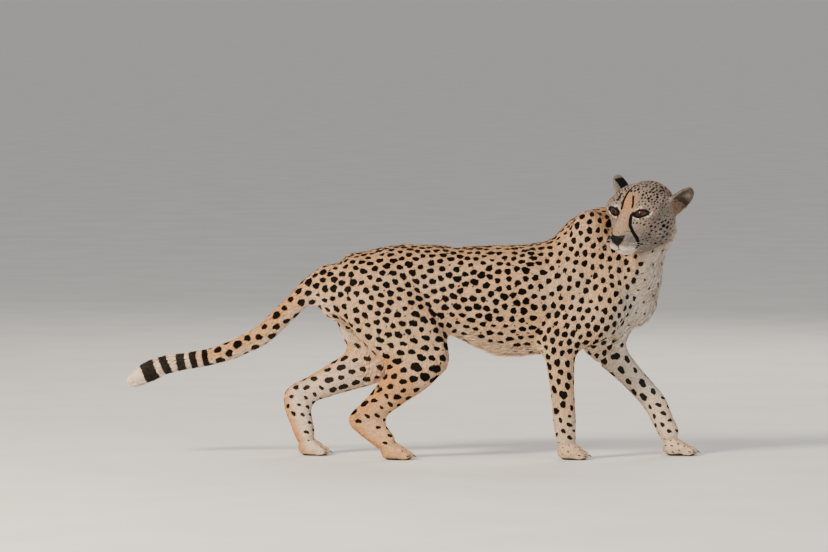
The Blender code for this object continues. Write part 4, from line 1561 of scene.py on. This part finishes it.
@dataclass
class Fur:
    """The coat's tufts: flat tapered locks that lie along the body, rooted in the skin."""

    hide: Hide
    markings: Markings
    yaw: float = 9.0  # degrees by which a lock's lie differs from its neighbours'
    sweep: float = 12.0  # degrees by which patches of the coat differ
    roll: float = 22.0  # degrees by which a lock turns about its length
    foot: float = 0.35 * MM  # depth of the roots in the skin
    patch: float = 0.003  # a lock's size on the unwrap

    def grow(self, name: str, wanted: Array, wrap: Wrap, rng: Chance) -> Piece:
        """Grows one piece of the coat.

        A lock has two corners at its root, two wider ones in the middle, and a tip, on a
        curve that leaves the skin at the root and lies flat at the tip.

        Args:
            name: the piece's name.
            wanted: whether each vertex of the skin belongs to the piece.
            wrap: the unwrap that places the locks' patches.
            rng: the source of chance.

        Returns:
            The piece.
        """
        hide, surface = self.hide, self.hide.surface
        area = norms(surface.face_crosses()) / 2
        weight = area * hide.coat["density"][surface.tris].mean(axis=1) * wanted[surface.tris[:, 0]]
        weight[(hide.coat["density"][surface.tris] == 0).any(axis=1)] = 0
        tri, share = scatter(weight, int(weight.sum()), rng)
        corners = surface.tris[tri]
        roots, normals = blend(surface.points, corners, share), unit(blend(hide.normals, corners, share))
        size = {key: blend(values, corners, share) for key, values in hide.coat.items()}
        lie = unit(laid(blend(hide.lie, corners, share), normals))

        count = len(roots)
        turn = np.radians(rng.normal(0, self.yaw, count) + self.sweep * waves(roots, 0.022, 2.0))
        across = np.cross(normals, lie)
        lie = lie * np.cos(turn)[:, None] + across * np.sin(turn)[:, None]
        tilt = np.radians(rng.normal(0, self.roll, count))
        across = np.cross(normals, lie) * np.cos(tilt)[:, None] + normals * np.sin(tilt)[:, None]
        length = size["length"] * rng.uniform(0.7, 1.3, count)
        half = size["width"] * rng.uniform(0.75, 1.2, count) / 2
        lift = size["lift"] * rng.uniform(0.55, 1.45, count) * (1 + 0.35 * waves(roots, 0.015, 5.0))

        foot = roots - normals * self.foot
        middle = roots + lie * (0.45 * length)[:, None] + normals * (0.7 * lift)[:, None]
        droop = rng.uniform(0.75, 1.1, count)
        tip = roots + lie * length[:, None] + normals * (lift * droop)[:, None]
        side = across * half[:, None]
        points = np.stack([foot - side * 0.7, foot + side * 0.7, middle - side, middle + side, tip], axis=1)
        points[:, :, 2] = np.maximum(points[:, :, 2], 0.3 * MM)
        faces = np.array([[0, 2, 1], [2, 3, 1], [2, 4, 3]])
        numbers = (np.arange(count) * 5)[:, None, None] + faces
        made = mesh_object(name, points.reshape(-1, 3), numbers.reshape(-1, 3))

        zones = hide.zones[corners[np.arange(count), share.argmax(axis=1)]]
        steps = [roots + lie * (step * length)[:, None] for step in (0.1, 0.45, 0.8)]
        marks = [self.markings.at(places, zones, normals) for places in steps]
        each = {key: blend(values, corners, share) for key, values in hide.masks.items()}
        each |= {"tone": rng.uniform(0, 1, count)}
        set_values(made, **{key: np.repeat(values, 5) for key, values in each.items()})
        set_values(made, mark=np.stack([marks[0], marks[0], marks[1], marks[1], marks[2]], axis=1).ravel())
        set_values(made, tip=np.tile([0.0, 0.0, 0.5, 0.5, 1.0], count))
        self.unwrap(made, *wrap.at(roots), numbers)
        LOG.info("%s: %d tufts, %d triangles", name, count, 3 * count)
        return made

    def unwrap(self, made: Piece, u: Array, v: Array, numbers: Array) -> None:
        """Gives each lock a small patch at its root's place on the unwrap.

        Args:
            made: the piece.
            u: the roots' first coordinates.
            v: their second ones.
            numbers: the vertex numbers of the locks' triangles.
        """
        step = np.array([[-0.5, -0.5], [0.5, -0.5], [-0.5, 0.2], [0.5, 0.2], [0.0, 0.5]]) * self.patch
        room = 1 - 2 * self.patch
        places = np.stack([u, v], axis=1) * room + self.patch
        spread = (places[:, None, :] + step).reshape(-1, 2)
        layer = made.data.uv_layers.new(name="OFBake")
        layer.data.foreach_set("uv", spread[numbers.ravel()].astype(np.float32).ravel())


# Eyes, whiskers and claws


@dataclass(frozen=True)
class Eyeball:
    """An eyeball with a bulging cornea, turned to where the animal looks."""

    socket: EyeSocket
    gaze: Place
    rings: int = 56
    spokes: int = 72
    bulge: float = 0.045
    inset: float = 0.3 * MM

    def build(self) -> Piece:
        """Builds the ball as rings round the line of sight.

        A ring stands at an angle t from that line, at a radius of R(1 + b*exp(-(t/0.5)^2)),
        and both poles are single vertices.

        Returns:
            The ball.
        """
        angle = np.linspace(0, np.pi, self.rings + 1)[1:-1]
        turn = np.linspace(0, 2 * np.pi, self.spokes, endpoint=False)
        reach = self.radius(angle)
        ahead = unit(np.array(self.gaze) * [1, self.socket.side.value, 1])
        side = unit(np.cross([0, 0, 1], ahead))
        up = np.cross(ahead, side)
        ring = np.cos(turn)[:, None] * side + np.sin(turn)[:, None] * up
        body = (reach * np.cos(angle))[:, None, None] * ahead + (reach * np.sin(angle))[:, None, None] * ring
        poles = np.array([ahead * self.radius(np.zeros(1)), -ahead * self.radius(np.full(1, np.pi))])
        points = np.vstack([body.reshape(-1, 3), poles]) + self.socket.place()
        tris = closed_grid(len(angle), self.spokes)
        made = mesh_object(f"eyeball_{self.socket.side.name.lower()}", HEAD.outward(points), tris)
        around = np.append(np.tile(turn, len(angle)), [0, 0])
        polar = np.append(np.repeat(angle, self.spokes), [0, np.pi])
        set_values(made, polar=np.degrees(polar), spoke_x=np.cos(around), spoke_y=np.sin(around))
        return made

    def radius(self, angle: Array) -> Array:
        """The ball's radius at an angle from the line of sight."""
        whole = self.socket.radius - self.inset
        return whole * (1 + self.bulge * np.exp(-((angle / 0.5) ** 2)))


def closed_grid(rows: int, columns: int) -> Array:
    """The triangles of a grid that closes across its columns and ends in a pole on either side.

    Args:
        rows: the number of rows.
        columns: the number of columns.

    Returns:
        The three vertex numbers of each triangle, where the two poles come after the rows.
    """
    row, column = np.meshgrid(np.arange(rows - 1), np.arange(columns), indexing="ij")
    here, below, beside = row * columns, (row + 1) * columns, (column + 1) % columns
    corners = [here + column, below + column, below + beside, here + beside]
    quads = np.stack(corners, axis=-1).reshape(-1, 4)
    start = np.arange(columns)
    end = start + (rows - 1) * columns
    pole = np.full(columns, rows * columns)
    front = np.stack([pole, start, np.roll(start, -1)], axis=1)
    back = np.stack([pole + 1, np.roll(end, -1), end], axis=1)
    return np.vstack([quads[:, [0, 1, 2]], quads[:, [0, 2, 3]], front, back])


def tubes(name: str, centres: Array, radii: Array, sides: int) -> Piece:
    """Round rods with closed ends, each carried along its own curve.

    Args:
        name: the object's name.
        centres: n rods of m points.
        radii: the n rods' radii at their m points.
        sides: the number of a rod's sides.

    Returns:
        The object.
    """
    count, steps = centres.shape[:2]
    ahead = unit(np.gradient(centres, axis=1))
    level = np.where(np.abs(ahead[:, :1, 2:]) < 0.8, [[[0.0, 0.0, 1.0]]], [[[1.0, 0.0, 0.0]]])
    side = unit(np.cross(ahead, np.broadcast_to(level, ahead.shape)))
    up = np.cross(ahead, side)
    turn = np.linspace(0, 2 * np.pi, sides, endpoint=False)
    ring = np.cos(turn)[:, None] * side[:, :, None, :] + np.sin(turn)[:, None] * up[:, :, None, :]
    body = centres[:, :, None, :] + ring * radii[:, :, None, None]
    ends = np.stack([centres[:, 0], centres[:, -1]], axis=1)
    each = np.concatenate([body.reshape(count, -1, 3), ends], axis=1)
    tris = closed_grid(steps, sides)[:, [0, 2, 1]]
    numbers = (np.arange(count) * each.shape[1])[:, None, None] + tris
    return mesh_object(name, each.reshape(-1, 3), numbers.reshape(-1, 3))


@dataclass(frozen=True)
class Whiskers:
    """Fine stiff hairs that sweep back and down from the lip."""

    rows: int = 3
    columns: int = 4
    length: float = 0.046
    radius: float = 0.22 * MM

    def build(self, rng: Chance) -> Piece:
        """Builds them: each is a quadratic curve from its root, bent down by its own weight.

        Args:
            rng: the source of chance.

        Returns:
            The piece.
        """
        row, column = np.meshgrid(np.arange(self.rows), np.arange(self.columns), indexing="ij")
        row, column = row.ravel(), column.ravel()
        roots, ways = [], []
        for side in Side:
            across = side.value * (0.026 + 0.003 * column) - 0.006
            roots.append(np.stack([0.139 - 0.0065 * column, across, -0.054 - 0.0055 * row], axis=1))
            across = np.full(len(row), side.value * 0.95)
            way = np.stack([0.25 - 0.3 * column, across, 0.1 - 0.22 * row], axis=1)
            ways.append(unit(way + rng.normal(0, 0.06, way.shape)))
        roots, ways = np.concatenate(roots), np.concatenate(ways)
        length = self.length * rng.uniform(0.65, 1.15, len(roots))
        t = np.linspace(0, 1, 9)
        curve = roots[:, None, :] + ways[:, None, :] * (length[:, None] * t)[:, :, None]
        curve = curve + (length[:, None] * t**2)[:, :, None] * [-0.28, 0.0, -0.2]
        radii = np.tile(self.radius * (1.02 - 0.9 * t), (len(roots), 1))
        curve = HEAD.outward(curve.reshape(-1, 3)).reshape(curve.shape)
        return tubes("whiskers", curve, radii, 5)


@dataclass(frozen=True)
class Claws:
    """The toes' short blunt claws, which never draw in fully."""

    length: float = 0.017
    radius: float = 2.5 * MM
    height: float = 0.0142
    inset: float = 0.0105  # of the roots behind the toes' tips
    drop: float = 0.0068  # of the point below the root

    def build(self) -> Piece:
        """Builds four to a paw: each is a tapered rod that bends down to its point.

        Returns:
            The piece.
        """
        roots = []
        for (leg, side), front in TOES.items():
            middle = leg_joints(leg, side)[-1][1]
            for place in (-1.5, -0.5, 0.5, 1.5):
                back = TOE_SET_BACK if abs(place) > 1 else 0
                y = middle + place * (TOE_SPREAD[leg] + 0.0012)
                roots.append((front - back - self.inset + MIDDLE[0], y, self.height))
        roots = np.array(roots)
        t = np.linspace(0, 1, 9)
        curve = roots[:, None, :] + np.stack([self.length * t, 0 * t, -self.drop * t**2], axis=1)
        radii = np.tile(self.radius * np.sqrt(1.03 - t), (len(roots), 1))
        return tubes("claws", curve, radii, 12)


# Finishes


def srgb(colour: Rgb) -> tuple[float, ...]:
    """A colour in the renderer's linear light, with a full alpha."""
    share = np.array(colour) / 255
    return (*np.where(share <= 0.04045, share / 12.92, ((share + 0.055) / 1.055) ** 2.4).tolist(), 1.0)


@dataclass
class Wiring:
    """Adds nodes to a tree and joins them. A value is an output of a node or a plain one."""

    tree: bpy.types.NodeTree

    def node(self, kind: str, inputs: dict[str | int, object], **settings: object) -> bpy.types.Node:
        """Adds a node.

        Args:
            kind: its type's name.
            inputs: its inputs' values, by name or number.
            settings: its properties' values.

        Returns:
            The node.
        """
        made = self.tree.nodes.new(kind)
        for name, value in settings.items():
            setattr(made, name, value)
        self.feed(made, inputs)
        return made

    def feed(self, made: bpy.types.Node, inputs: dict[str | int, object]) -> None:
        """Links a node's inputs, or sets those whose values are plain.

        Args:
            made: the node.
            inputs: the values, by name or number.
        """
        for name, value in inputs.items():
            if isinstance(value, Socket):
                self.tree.links.new(value, made.inputs[name])
            else:
                made.inputs[name].default_value = value

    def math(self, operation: str, *values: object, clamp: bool = False) -> Socket:
        """A sum on numbers."""
        inputs = dict(enumerate(values))
        return self.node("ShaderNodeMath", inputs, operation=operation, use_clamp=clamp).outputs[0]

    def ramp(self, value: object, low: float, high: float, start: float = 0.0, end: float = 1.0) -> Socket:
        """A smooth step from start to end as the value goes from low to high."""
        inputs = dict(enumerate((value, low, high, start, end)))
        return self.node("ShaderNodeMapRange", inputs, interpolation_type="SMOOTHSTEP").outputs[0]

    def blend(self, share: object, first: object, second: object, way: str = "MIX") -> Socket:
        """A mix of two colours, by the share of the second."""
        inputs = {0: share, 6: first, 7: second}
        return self.node("ShaderNodeMix", inputs, data_type="RGBA", blend_type=way).outputs[2]

    def noise(self, scale: float, detail: float, place: Socket | None = None) -> Socket:
        """Noise of so many turns in a metre, at a place or at the object's own coordinates."""
        inputs = {"Scale": scale, "Detail": detail, "Vector": place or self.place()}
        return self.node("ShaderNodeTexNoise", inputs).outputs["Fac"]

    def place(self) -> Socket:
        """The object's own coordinates."""
        return self.node("ShaderNodeTexCoord", {}).outputs["Object"]

    def value(self, name: str) -> Socket:
        """One of the mesh's own values."""
        return self.node("ShaderNodeAttribute", {}, attribute_name=name).outputs["Fac"]

    def bump(self, height: Socket, strength: float, distance: float) -> Socket:
        """The normal over a height from 0 to 1, which stands for a distance in metres."""
        inputs = {"Strength": strength, "Distance": distance, "Height": height}
        return self.node("ShaderNodeBump", inputs).outputs["Normal"]


def new_material(name: str, **constants: object) -> tuple[bpy.types.Material, Wiring, bpy.types.Node]:
    """Makes a material with one Principled shader.

    Args:
        name: the material's name.
        constants: values of the shader's inputs, with a line for each space in their names.

    Returns:
        The material, the wiring of its nodes, and its shader.
    """
    made = bpy.data.materials.new(name)
    made.use_nodes = True
    shader = made.node_tree.nodes["Principled BSDF"]
    for key, value in constants.items():
        shader.inputs[key.replace("_", " ")].default_value = value
    return made, Wiring(made.node_tree), shader


# The fifth mask holds painted shade, which darkens the hide's colour.
MASKS = ("Mark", "Pale", "Warm", "Grey", "Painted_shade", "Leather")
# Painted shade darkens the hide towards this near black.
PAINTED_SHADE_COLOUR = (0.02, 0.015, 0.012, 1)  # of shaded hide


@dataclass(frozen=True)
class SpottedColours:
    """The colours of the hide and its coat."""

    fawn: Rgb = (208, 180, 147)
    warm: Rgb = (208, 150, 92)
    pale: Rgb = (240, 232, 220)
    cream: Rgb = (246, 206, 158)
    grey: Rgb = (124, 117, 115)
    ink: Rgb = (6, 5, 5)
    leather: Rgb = (6, 5, 5)

    def group(self) -> bpy.types.NodeTree:
        """Builds the group that all of the hide shares.

        Returns:
            The group, which gives the colour, darkened by painted shade, and the black from the masks.
        """
        tree = bpy.data.node_groups.new("spotted hide", "ShaderNodeTree")
        for name in MASKS:
            tree.interface.new_socket(name, in_out="INPUT", socket_type="NodeSocketFloat")
        tree.interface.new_socket("Color", in_out="OUTPUT", socket_type="NodeSocketColor")
        tree.interface.new_socket("Ink", in_out="OUTPUT", socket_type="NodeSocketFloat")
        w = Wiring(tree)
        given = w.node("NodeGroupInput", {}).outputs
        broad, fine = w.noise(14, 3), w.noise(420, 2)
        warm = w.math("ADD", given["Warm"], w.ramp(broad, 0.3, 0.7, -0.14, 0.14), clamp=True)
        pale = w.math("ADD", given["Pale"], w.ramp(fine, 0.3, 0.7, -0.1, 0.1), clamp=True)
        colour = w.blend(warm, srgb(self.fawn), srgb(self.warm))
        colour = w.blend(given["Grey"], colour, srgb(self.grey))
        white = w.blend(given["Warm"], srgb(self.pale), srgb(self.cream))
        colour = w.blend(pale, colour, white)
        flecks = w.blend(w.ramp(fine, 0.35, 0.65), (0.8, 0.77, 0.74, 1), (1.1, 1.1, 1.1, 1))
        colour = w.blend(1.0, colour, flecks, "MULTIPLY")
        ragged = w.math("ADD", given["Mark"], w.ramp(w.noise(900, 1), 0.25, 0.75, -0.7, 0.7))
        ink = w.ramp(ragged, -0.45, 0.55, 1.0, 0.0)
        kept = w.math("SUBTRACT", 1.0, w.math("MULTIPLY", given["Pale"], 0.04))
        colour = w.blend(w.math("MULTIPLY", ink, kept), colour, srgb(self.ink))
        # Painted shade: the fifth mask darkens the colour towards the near black.
        colour = w.blend(w.math("MULTIPLY", given["Painted_shade"], 0.85), colour, PAINTED_SHADE_COLOUR)
        colour = w.blend(given["Leather"], colour, srgb(self.leather))
        w.node("NodeGroupOutput", {"Color": colour, "Ink": ink})
        return tree

    def placed(self, w: Wiring, tree: bpy.types.NodeTree) -> bpy.types.Node:
        """The group in a material, fed with the mesh's own values."""
        return w.node("ShaderNodeGroup", {name: w.value(name.lower()) for name in MASKS}, node_tree=tree)


@dataclass(frozen=True)
class SkinFinish:
    """The skin under the coat, and the bare leather of the nose, lids and pads."""

    colours: SpottedColours
    roughness: float = 0.72

    def material(self, tree: bpy.types.NodeTree) -> bpy.types.Material:
        """Builds it: the hide's colour, a coat-like bump, and finer pebbles on leather.

        Args:
            tree: the hide's group.

        Returns:
            The material.
        """
        made, w, shader = new_material("skin", Specular_IOR_Level=0.18)
        hide = self.colours.placed(w, tree)
        darker = w.blend(1.0, hide.outputs["Color"], (0.74, 0.7, 0.66, 1), "MULTIPLY")
        leather = w.value("leather")
        cells = w.node("ShaderNodeTexVoronoi", {"Scale": 900, "Vector": w.place()}, feature="F1")
        heights = {0: leather, 2: w.noise(700, 3), 3: cells.outputs["Distance"]}
        height = w.node("ShaderNodeMix", heights, data_type="FLOAT").outputs[0]
        w.feed(shader, {
            "Base Color": w.blend(leather, darker, hide.outputs["Color"]),
            "Roughness": w.ramp(leather, 0.2, 0.8, self.roughness, 0.42),
            "Normal": w.bump(height, 0.55, 0.7 * MM),
        })
        return made


@dataclass(frozen=True)
class CoatFinish:
    """The coat's tufts: the hide's colour, darker at the root and lighter at the tip."""

    colours: SpottedColours
    sheen: float = 0.03

    def material(self, tree: bpy.types.NodeTree) -> bpy.types.Material:
        """Builds it.

        Args:
            tree: the hide's group.

        Returns:
            The material.
        """
        made, w, shader = new_material(
            "coat", Specular_IOR_Level=0.06, Sheen_Weight=self.sheen, Sheen_Roughness=0.45,
            Sheen_Tint=(1.0, 0.93, 0.84, 1.0),
        )
        hide = self.colours.placed(w, tree)
        ink, tip, tone = hide.outputs["Ink"], w.value("tip"), w.value("tone")
        along = w.blend(w.ramp(tip, 0.0, 0.8), (0.66, 0.62, 0.58, 1), (1.08, 1.07, 1.06, 1))
        varied = w.blend(tone, (0.74, 0.72, 0.7, 1), (1.2, 1.2, 1.2, 1))
        colour = w.blend(1.0, hide.outputs["Color"], along, "MULTIPLY")
        colour = w.blend(1.0, colour, varied, "MULTIPLY")
        w.feed(shader, {"Base Color": colour, "Roughness": w.ramp(ink, 0.0, 1.0, 0.78, 0.55)})
        return made


@dataclass(frozen=True)
class EyeFinish:
    """Amber iris with fibres, round pupil, dark rim and a wet surface."""

    iris: Rgb = (48, 23, 8)
    inner: Rgb = (74, 37, 12)
    rim: Rgb = (20, 12, 8)
    white: Rgb = (14, 9, 7)
    pupil: float = 18.0  # degrees from the line of sight
    edge: float = 46.0

    def material(self) -> bpy.types.Material:
        """Builds it from the angle from the line of sight.

        Returns:
            The material.
        """
        made, w, shader = new_material(
            "eye", Roughness=0.3, Coat_Weight=0.25, Coat_Roughness=0.03, Specular_IOR_Level=0.12,
        )
        polar = w.value("polar")
        around = {0: w.value("spoke_x"), 1: w.value("spoke_y"), 2: w.math("MULTIPLY", polar, 0.012)}
        fibres = w.noise(11, 4, w.node("ShaderNodeCombineXYZ", around).outputs[0])
        iris = w.blend(w.ramp(polar, self.pupil, self.edge * 0.8), srgb(self.inner), srgb(self.iris))
        streaks = w.blend(w.ramp(fibres, 0.3, 0.7), (0.55, 0.5, 0.45, 1), (1.3, 1.25, 1.2, 1))
        iris = w.blend(1.0, iris, streaks, "MULTIPLY")
        ragged = w.math("ADD", polar, w.ramp(fibres, 0.2, 0.8, -0.9, 0.9))
        colour = w.blend(w.ramp(ragged, self.pupil - 1.0, self.pupil + 1.0), (0.002, 0.002, 0.002, 1), iris)
        colour = w.blend(w.ramp(ragged, self.edge - 5, self.edge), colour, srgb(self.rim))
        colour = w.blend(w.ramp(polar, self.edge + 2, self.edge + 9), colour, srgb(self.white))
        w.feed(shader, {"Base Color": colour})
        return made


@dataclass(frozen=True)
class HornFinish:
    """Claws and whiskers: translucent-looking horn with fine growth lines."""

    name: str
    dark: Rgb
    light: Rgb
    roughness: float = 0.35

    def material(self) -> bpy.types.Material:
        """Builds it from noise drawn out along the animal.

        Returns:
            The material.
        """
        made, w, shader = new_material(self.name, Specular_IOR_Level=0.5)
        drawn = w.node("ShaderNodeMapping", {"Vector": w.place(), "Scale": (60.0, 900.0, 900.0)})
        streaks = w.noise(1.0, 3, drawn.outputs["Vector"])
        colour = w.blend(w.ramp(streaks, 0.3, 0.7), srgb(self.dark), srgb(self.light))
        rough = w.ramp(streaks, 0.3, 0.7, self.roughness + 0.12, self.roughness)
        w.feed(shader, {"Base Color": colour, "Roughness": rough, "Normal": w.bump(streaks, 0.3, 0.2 * MM)})
        return made


# The studio


@dataclass(frozen=True)
class Studio:
    """A pale floor, soft lights and the camera."""

    target: Place = (-0.0011, 0.0478, 0.5096)
    distance: float = 15.0
    rise: float = 3.0  # degrees of the camera above the target's level
    view: float = 2.3184  # width in metres that the picture spans at the target
    half_floor: float = 1500.0
    aim: Place = (0.0, 0.0, 0.45)  # where the lamps point

    def floor(self) -> Piece:
        """Lays a wide level square at the soles' height.

        Returns:
            The floor.
        """
        corners = np.array([(-1, -1, 0), (1, -1, 0), (1, 1, 0), (-1, 1, 0)]) * self.half_floor
        made = mesh_object("floor", corners, np.array([[0, 1, 2], [0, 2, 3]]))
        material, w, shader = new_material("floor", Roughness=0.9, Specular_IOR_Level=0.2)
        colour = w.blend(w.ramp(w.noise(3, 3), 0.3, 0.7), srgb((214, 208, 198)), srgb((220, 214, 205)))
        w.feed(shader, {"Base Color": colour})
        made.data.materials.append(material)
        return made

    def lamp(self, name: str, place: Place, size: float, power: float,
             colour: Place) -> None:
        """Adds one square lamp that faces the middle of the animal.

        Args:
            name: its name.
            place: where it stands.
            size: its side in metres.
            power: its power in watts.
            colour: its light's red, green and blue.
        """
        light = bpy.data.lights.new(name, "AREA")
        light.size, light.energy, light.color = size, power, colour
        made = bpy.data.objects.new(name, light)
        bpy.context.scene.collection.objects.link(made)
        made.location = place
        away = Vector(place) - Vector(self.aim)
        made.rotation_euler = away.to_track_quat("Z", "Y").to_euler()

    def light(self) -> None:
        """A warm key from the upper left in front, a cool fill, a rim light, and a pale sky."""
        self.lamp("key", (-4.2, -3.9, 4.0), 1.6, 800, (1.0, 0.9, 0.75))
        self.lamp("fill", (3.6, -4.2, 2.0), 3.5, 130, (0.76, 0.88, 1.0))
        self.lamp("rim", (1.5, 4.5, 3.6), 3.0, 150, (1.0, 0.95, 0.88))
        world = bpy.data.worlds.new("sky")
        bpy.context.scene.world = world
        world.use_nodes = True
        back = world.node_tree.nodes["Background"]
        back.inputs["Color"].default_value = (0.86, 0.9, 0.96, 1)
        back.inputs["Strength"].default_value = 0.6

    def camera(self) -> None:
        """A long lens, level with the animal's middle and a little above it."""
        data = bpy.data.cameras.new("camera")
        data.lens = data.sensor_width * self.distance / self.view
        data.clip_end = 4000
        made = bpy.data.objects.new("camera", data)
        bpy.context.scene.collection.objects.link(made)
        rise = np.radians(self.rise)
        way = Vector((0.0, -np.cos(rise), np.sin(rise)))
        made.location = Vector(self.target) + way * self.distance
        made.rotation_euler = way.to_track_quat("Z", "Y").to_euler()
        bpy.context.scene.camera = made


# The whole

EYES = ["eye_left", "eye_right"]

# Paths from the middle that the coat is unwrapped round.
TRUNK_LINE = ((-0.26, 0, 0.49), (0.67, 0, 0.47))
THROAT_LINE = ((0.47, 0, 0.5), (0.605, 0, 0.543), (0.66, -0.018, 0.634), (0.666, -0.04, 0.668))


@dataclass
class Cheetah:
    """The whole animal."""

    flesh: list[str]
    colours: SpottedColours = SpottedColours()
    gazes: tuple[Place, ...] = ((0.97, 0.16, -0.02), (0.97, 0.14, 0.1))  # right, left

    def build(self) -> None:
        """Builds and dresses every piece in order."""
        rng = np.random.default_rng(SEED)
        face = Face()
        skin = Skin(self.flesh + EYES)
        skin.cast()
        hide = Hide(skin.surface, skin.zones, face)
        hide.settle_coat()
        hide.sink(skin.push)
        hide.shape_face()
        hide.comb()
        hide.colour()
        hide.thin_out()
        markings = Markings(hide)
        markings.scatter(rng)
        tree = self.colours.group()
        dressed = mesh_object("skin", hide.surface.points, hide.surface.tris)
        set_values(dressed, mark=markings.at(hide.surface.points, hide.zones, hide.normals), **hide.masks)
        self.finish(dressed, SkinFinish(self.colours).material(tree), "coat", *self.flesh)
        fur, material = Fur(hide, markings), CoatFinish(self.colours).material(tree)
        for name, wanted, wrap in self.coat_pieces(hide):
            self.finish(fur.grow(name, wanted, wrap, rng), material, "coat")
        for socket, gaze in zip(SOCKETS, self.gazes):
            node = f"eye_{socket.side.name.lower()}"
            self.finish(Eyeball(socket, gaze).build(), EyeFinish().material(), "eyes", node)
        self.finish(Whiskers().build(rng), HornFinish("whisker", (196, 188, 176), (236, 231, 222)).material())
        self.finish(Claws().build(), HornFinish("claw", (38, 31, 27), (82, 70, 60)).material())

    def finish(self, piece: Piece, material: bpy.types.Material, slot: str = "", *nodes: str) -> None:
        """Gives a piece its material and its body, and hides the solids that it stands for.

        Args:
            piece: the piece.
            material: its material.
            slot: not used.
            nodes: the solids' names.
        """
        piece.data.materials.append(material)
        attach(piece, "root")
        if nodes:
            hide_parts(*nodes)
        LOG.info("%s is done", piece.name)

    def coat_pieces(self, hide: Hide) -> list[tuple[str, Array, Wrap]]:
        """Splits the coat into pieces.

        Args:
            hide: the skin.

        Returns:
            Each piece's name, its part of the skin, and its unwrap.
        """
        x, y = hide.layout[:, 0], hide.layout[:, 1]
        trunk, throat = Wrap(np.array(TRUNK_LINE) + MIDDLE), Wrap(np.array(THROAT_LINE) + MIDDLE)
        skull = Wrap(HEAD.outward([(-0.1, 0, 0), (0.16, 0, -0.03)]))
        pieces = [
            ("coat_trunk_left", hide.is_in(Zone.TRUNK) & (y > 0), trunk),
            ("coat_trunk_right", hide.is_in(Zone.TRUNK) & (y <= 0), trunk),
            ("coat_neck", hide.is_in(Zone.NECK), throat),
            ("coat_head", hide.is_in(Zone.HEAD), skull),
            ("coat_tail", hide.is_in(Zone.TAIL, Zone.TAIL_TIP), Wrap(np.array(TAIL) + MIDDLE)),
        ]
        for ear in EARS:
            path = HEAD.outward(np.array([ear.root, ear.tip]) * [1, ear.side.value, 1])
            pieces.append((f"coat_ear_{ear.side.name.lower()}", hide.is_on(ear), Wrap(path)))
        for leg, side in LEGS:
            kinds = (Zone[f"{leg.name}_UPPER"], Zone[f"{leg.name}_LOWER"])
            ours = hide.is_in(*kinds) | (hide.is_in(Zone.PAW) & ((x > FORE_FROM) == (leg is Leg.FORE)))
            ours &= np.sign(y) == side.value
            pieces.append((f"coat_{leg.value}_{side.name.lower()}", ours, Wrap(leg_joints(leg, side))))
        return pieces


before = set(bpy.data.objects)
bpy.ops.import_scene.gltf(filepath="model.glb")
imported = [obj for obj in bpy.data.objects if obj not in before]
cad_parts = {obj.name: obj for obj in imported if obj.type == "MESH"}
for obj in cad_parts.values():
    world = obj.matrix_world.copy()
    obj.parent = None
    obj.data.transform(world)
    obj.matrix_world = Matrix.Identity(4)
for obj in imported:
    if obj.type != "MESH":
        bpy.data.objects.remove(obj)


def main() -> None:
    """Builds the animal and its studio."""
    logging.basicConfig(level=logging.INFO, format="%(message)s")
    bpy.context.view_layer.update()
    flesh = [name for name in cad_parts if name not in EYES]
    Cheetah(flesh).build()
    studio = Studio()
    studio.floor()
    studio.light()
    studio.camera()


if __name__ == "__main__":
    main()
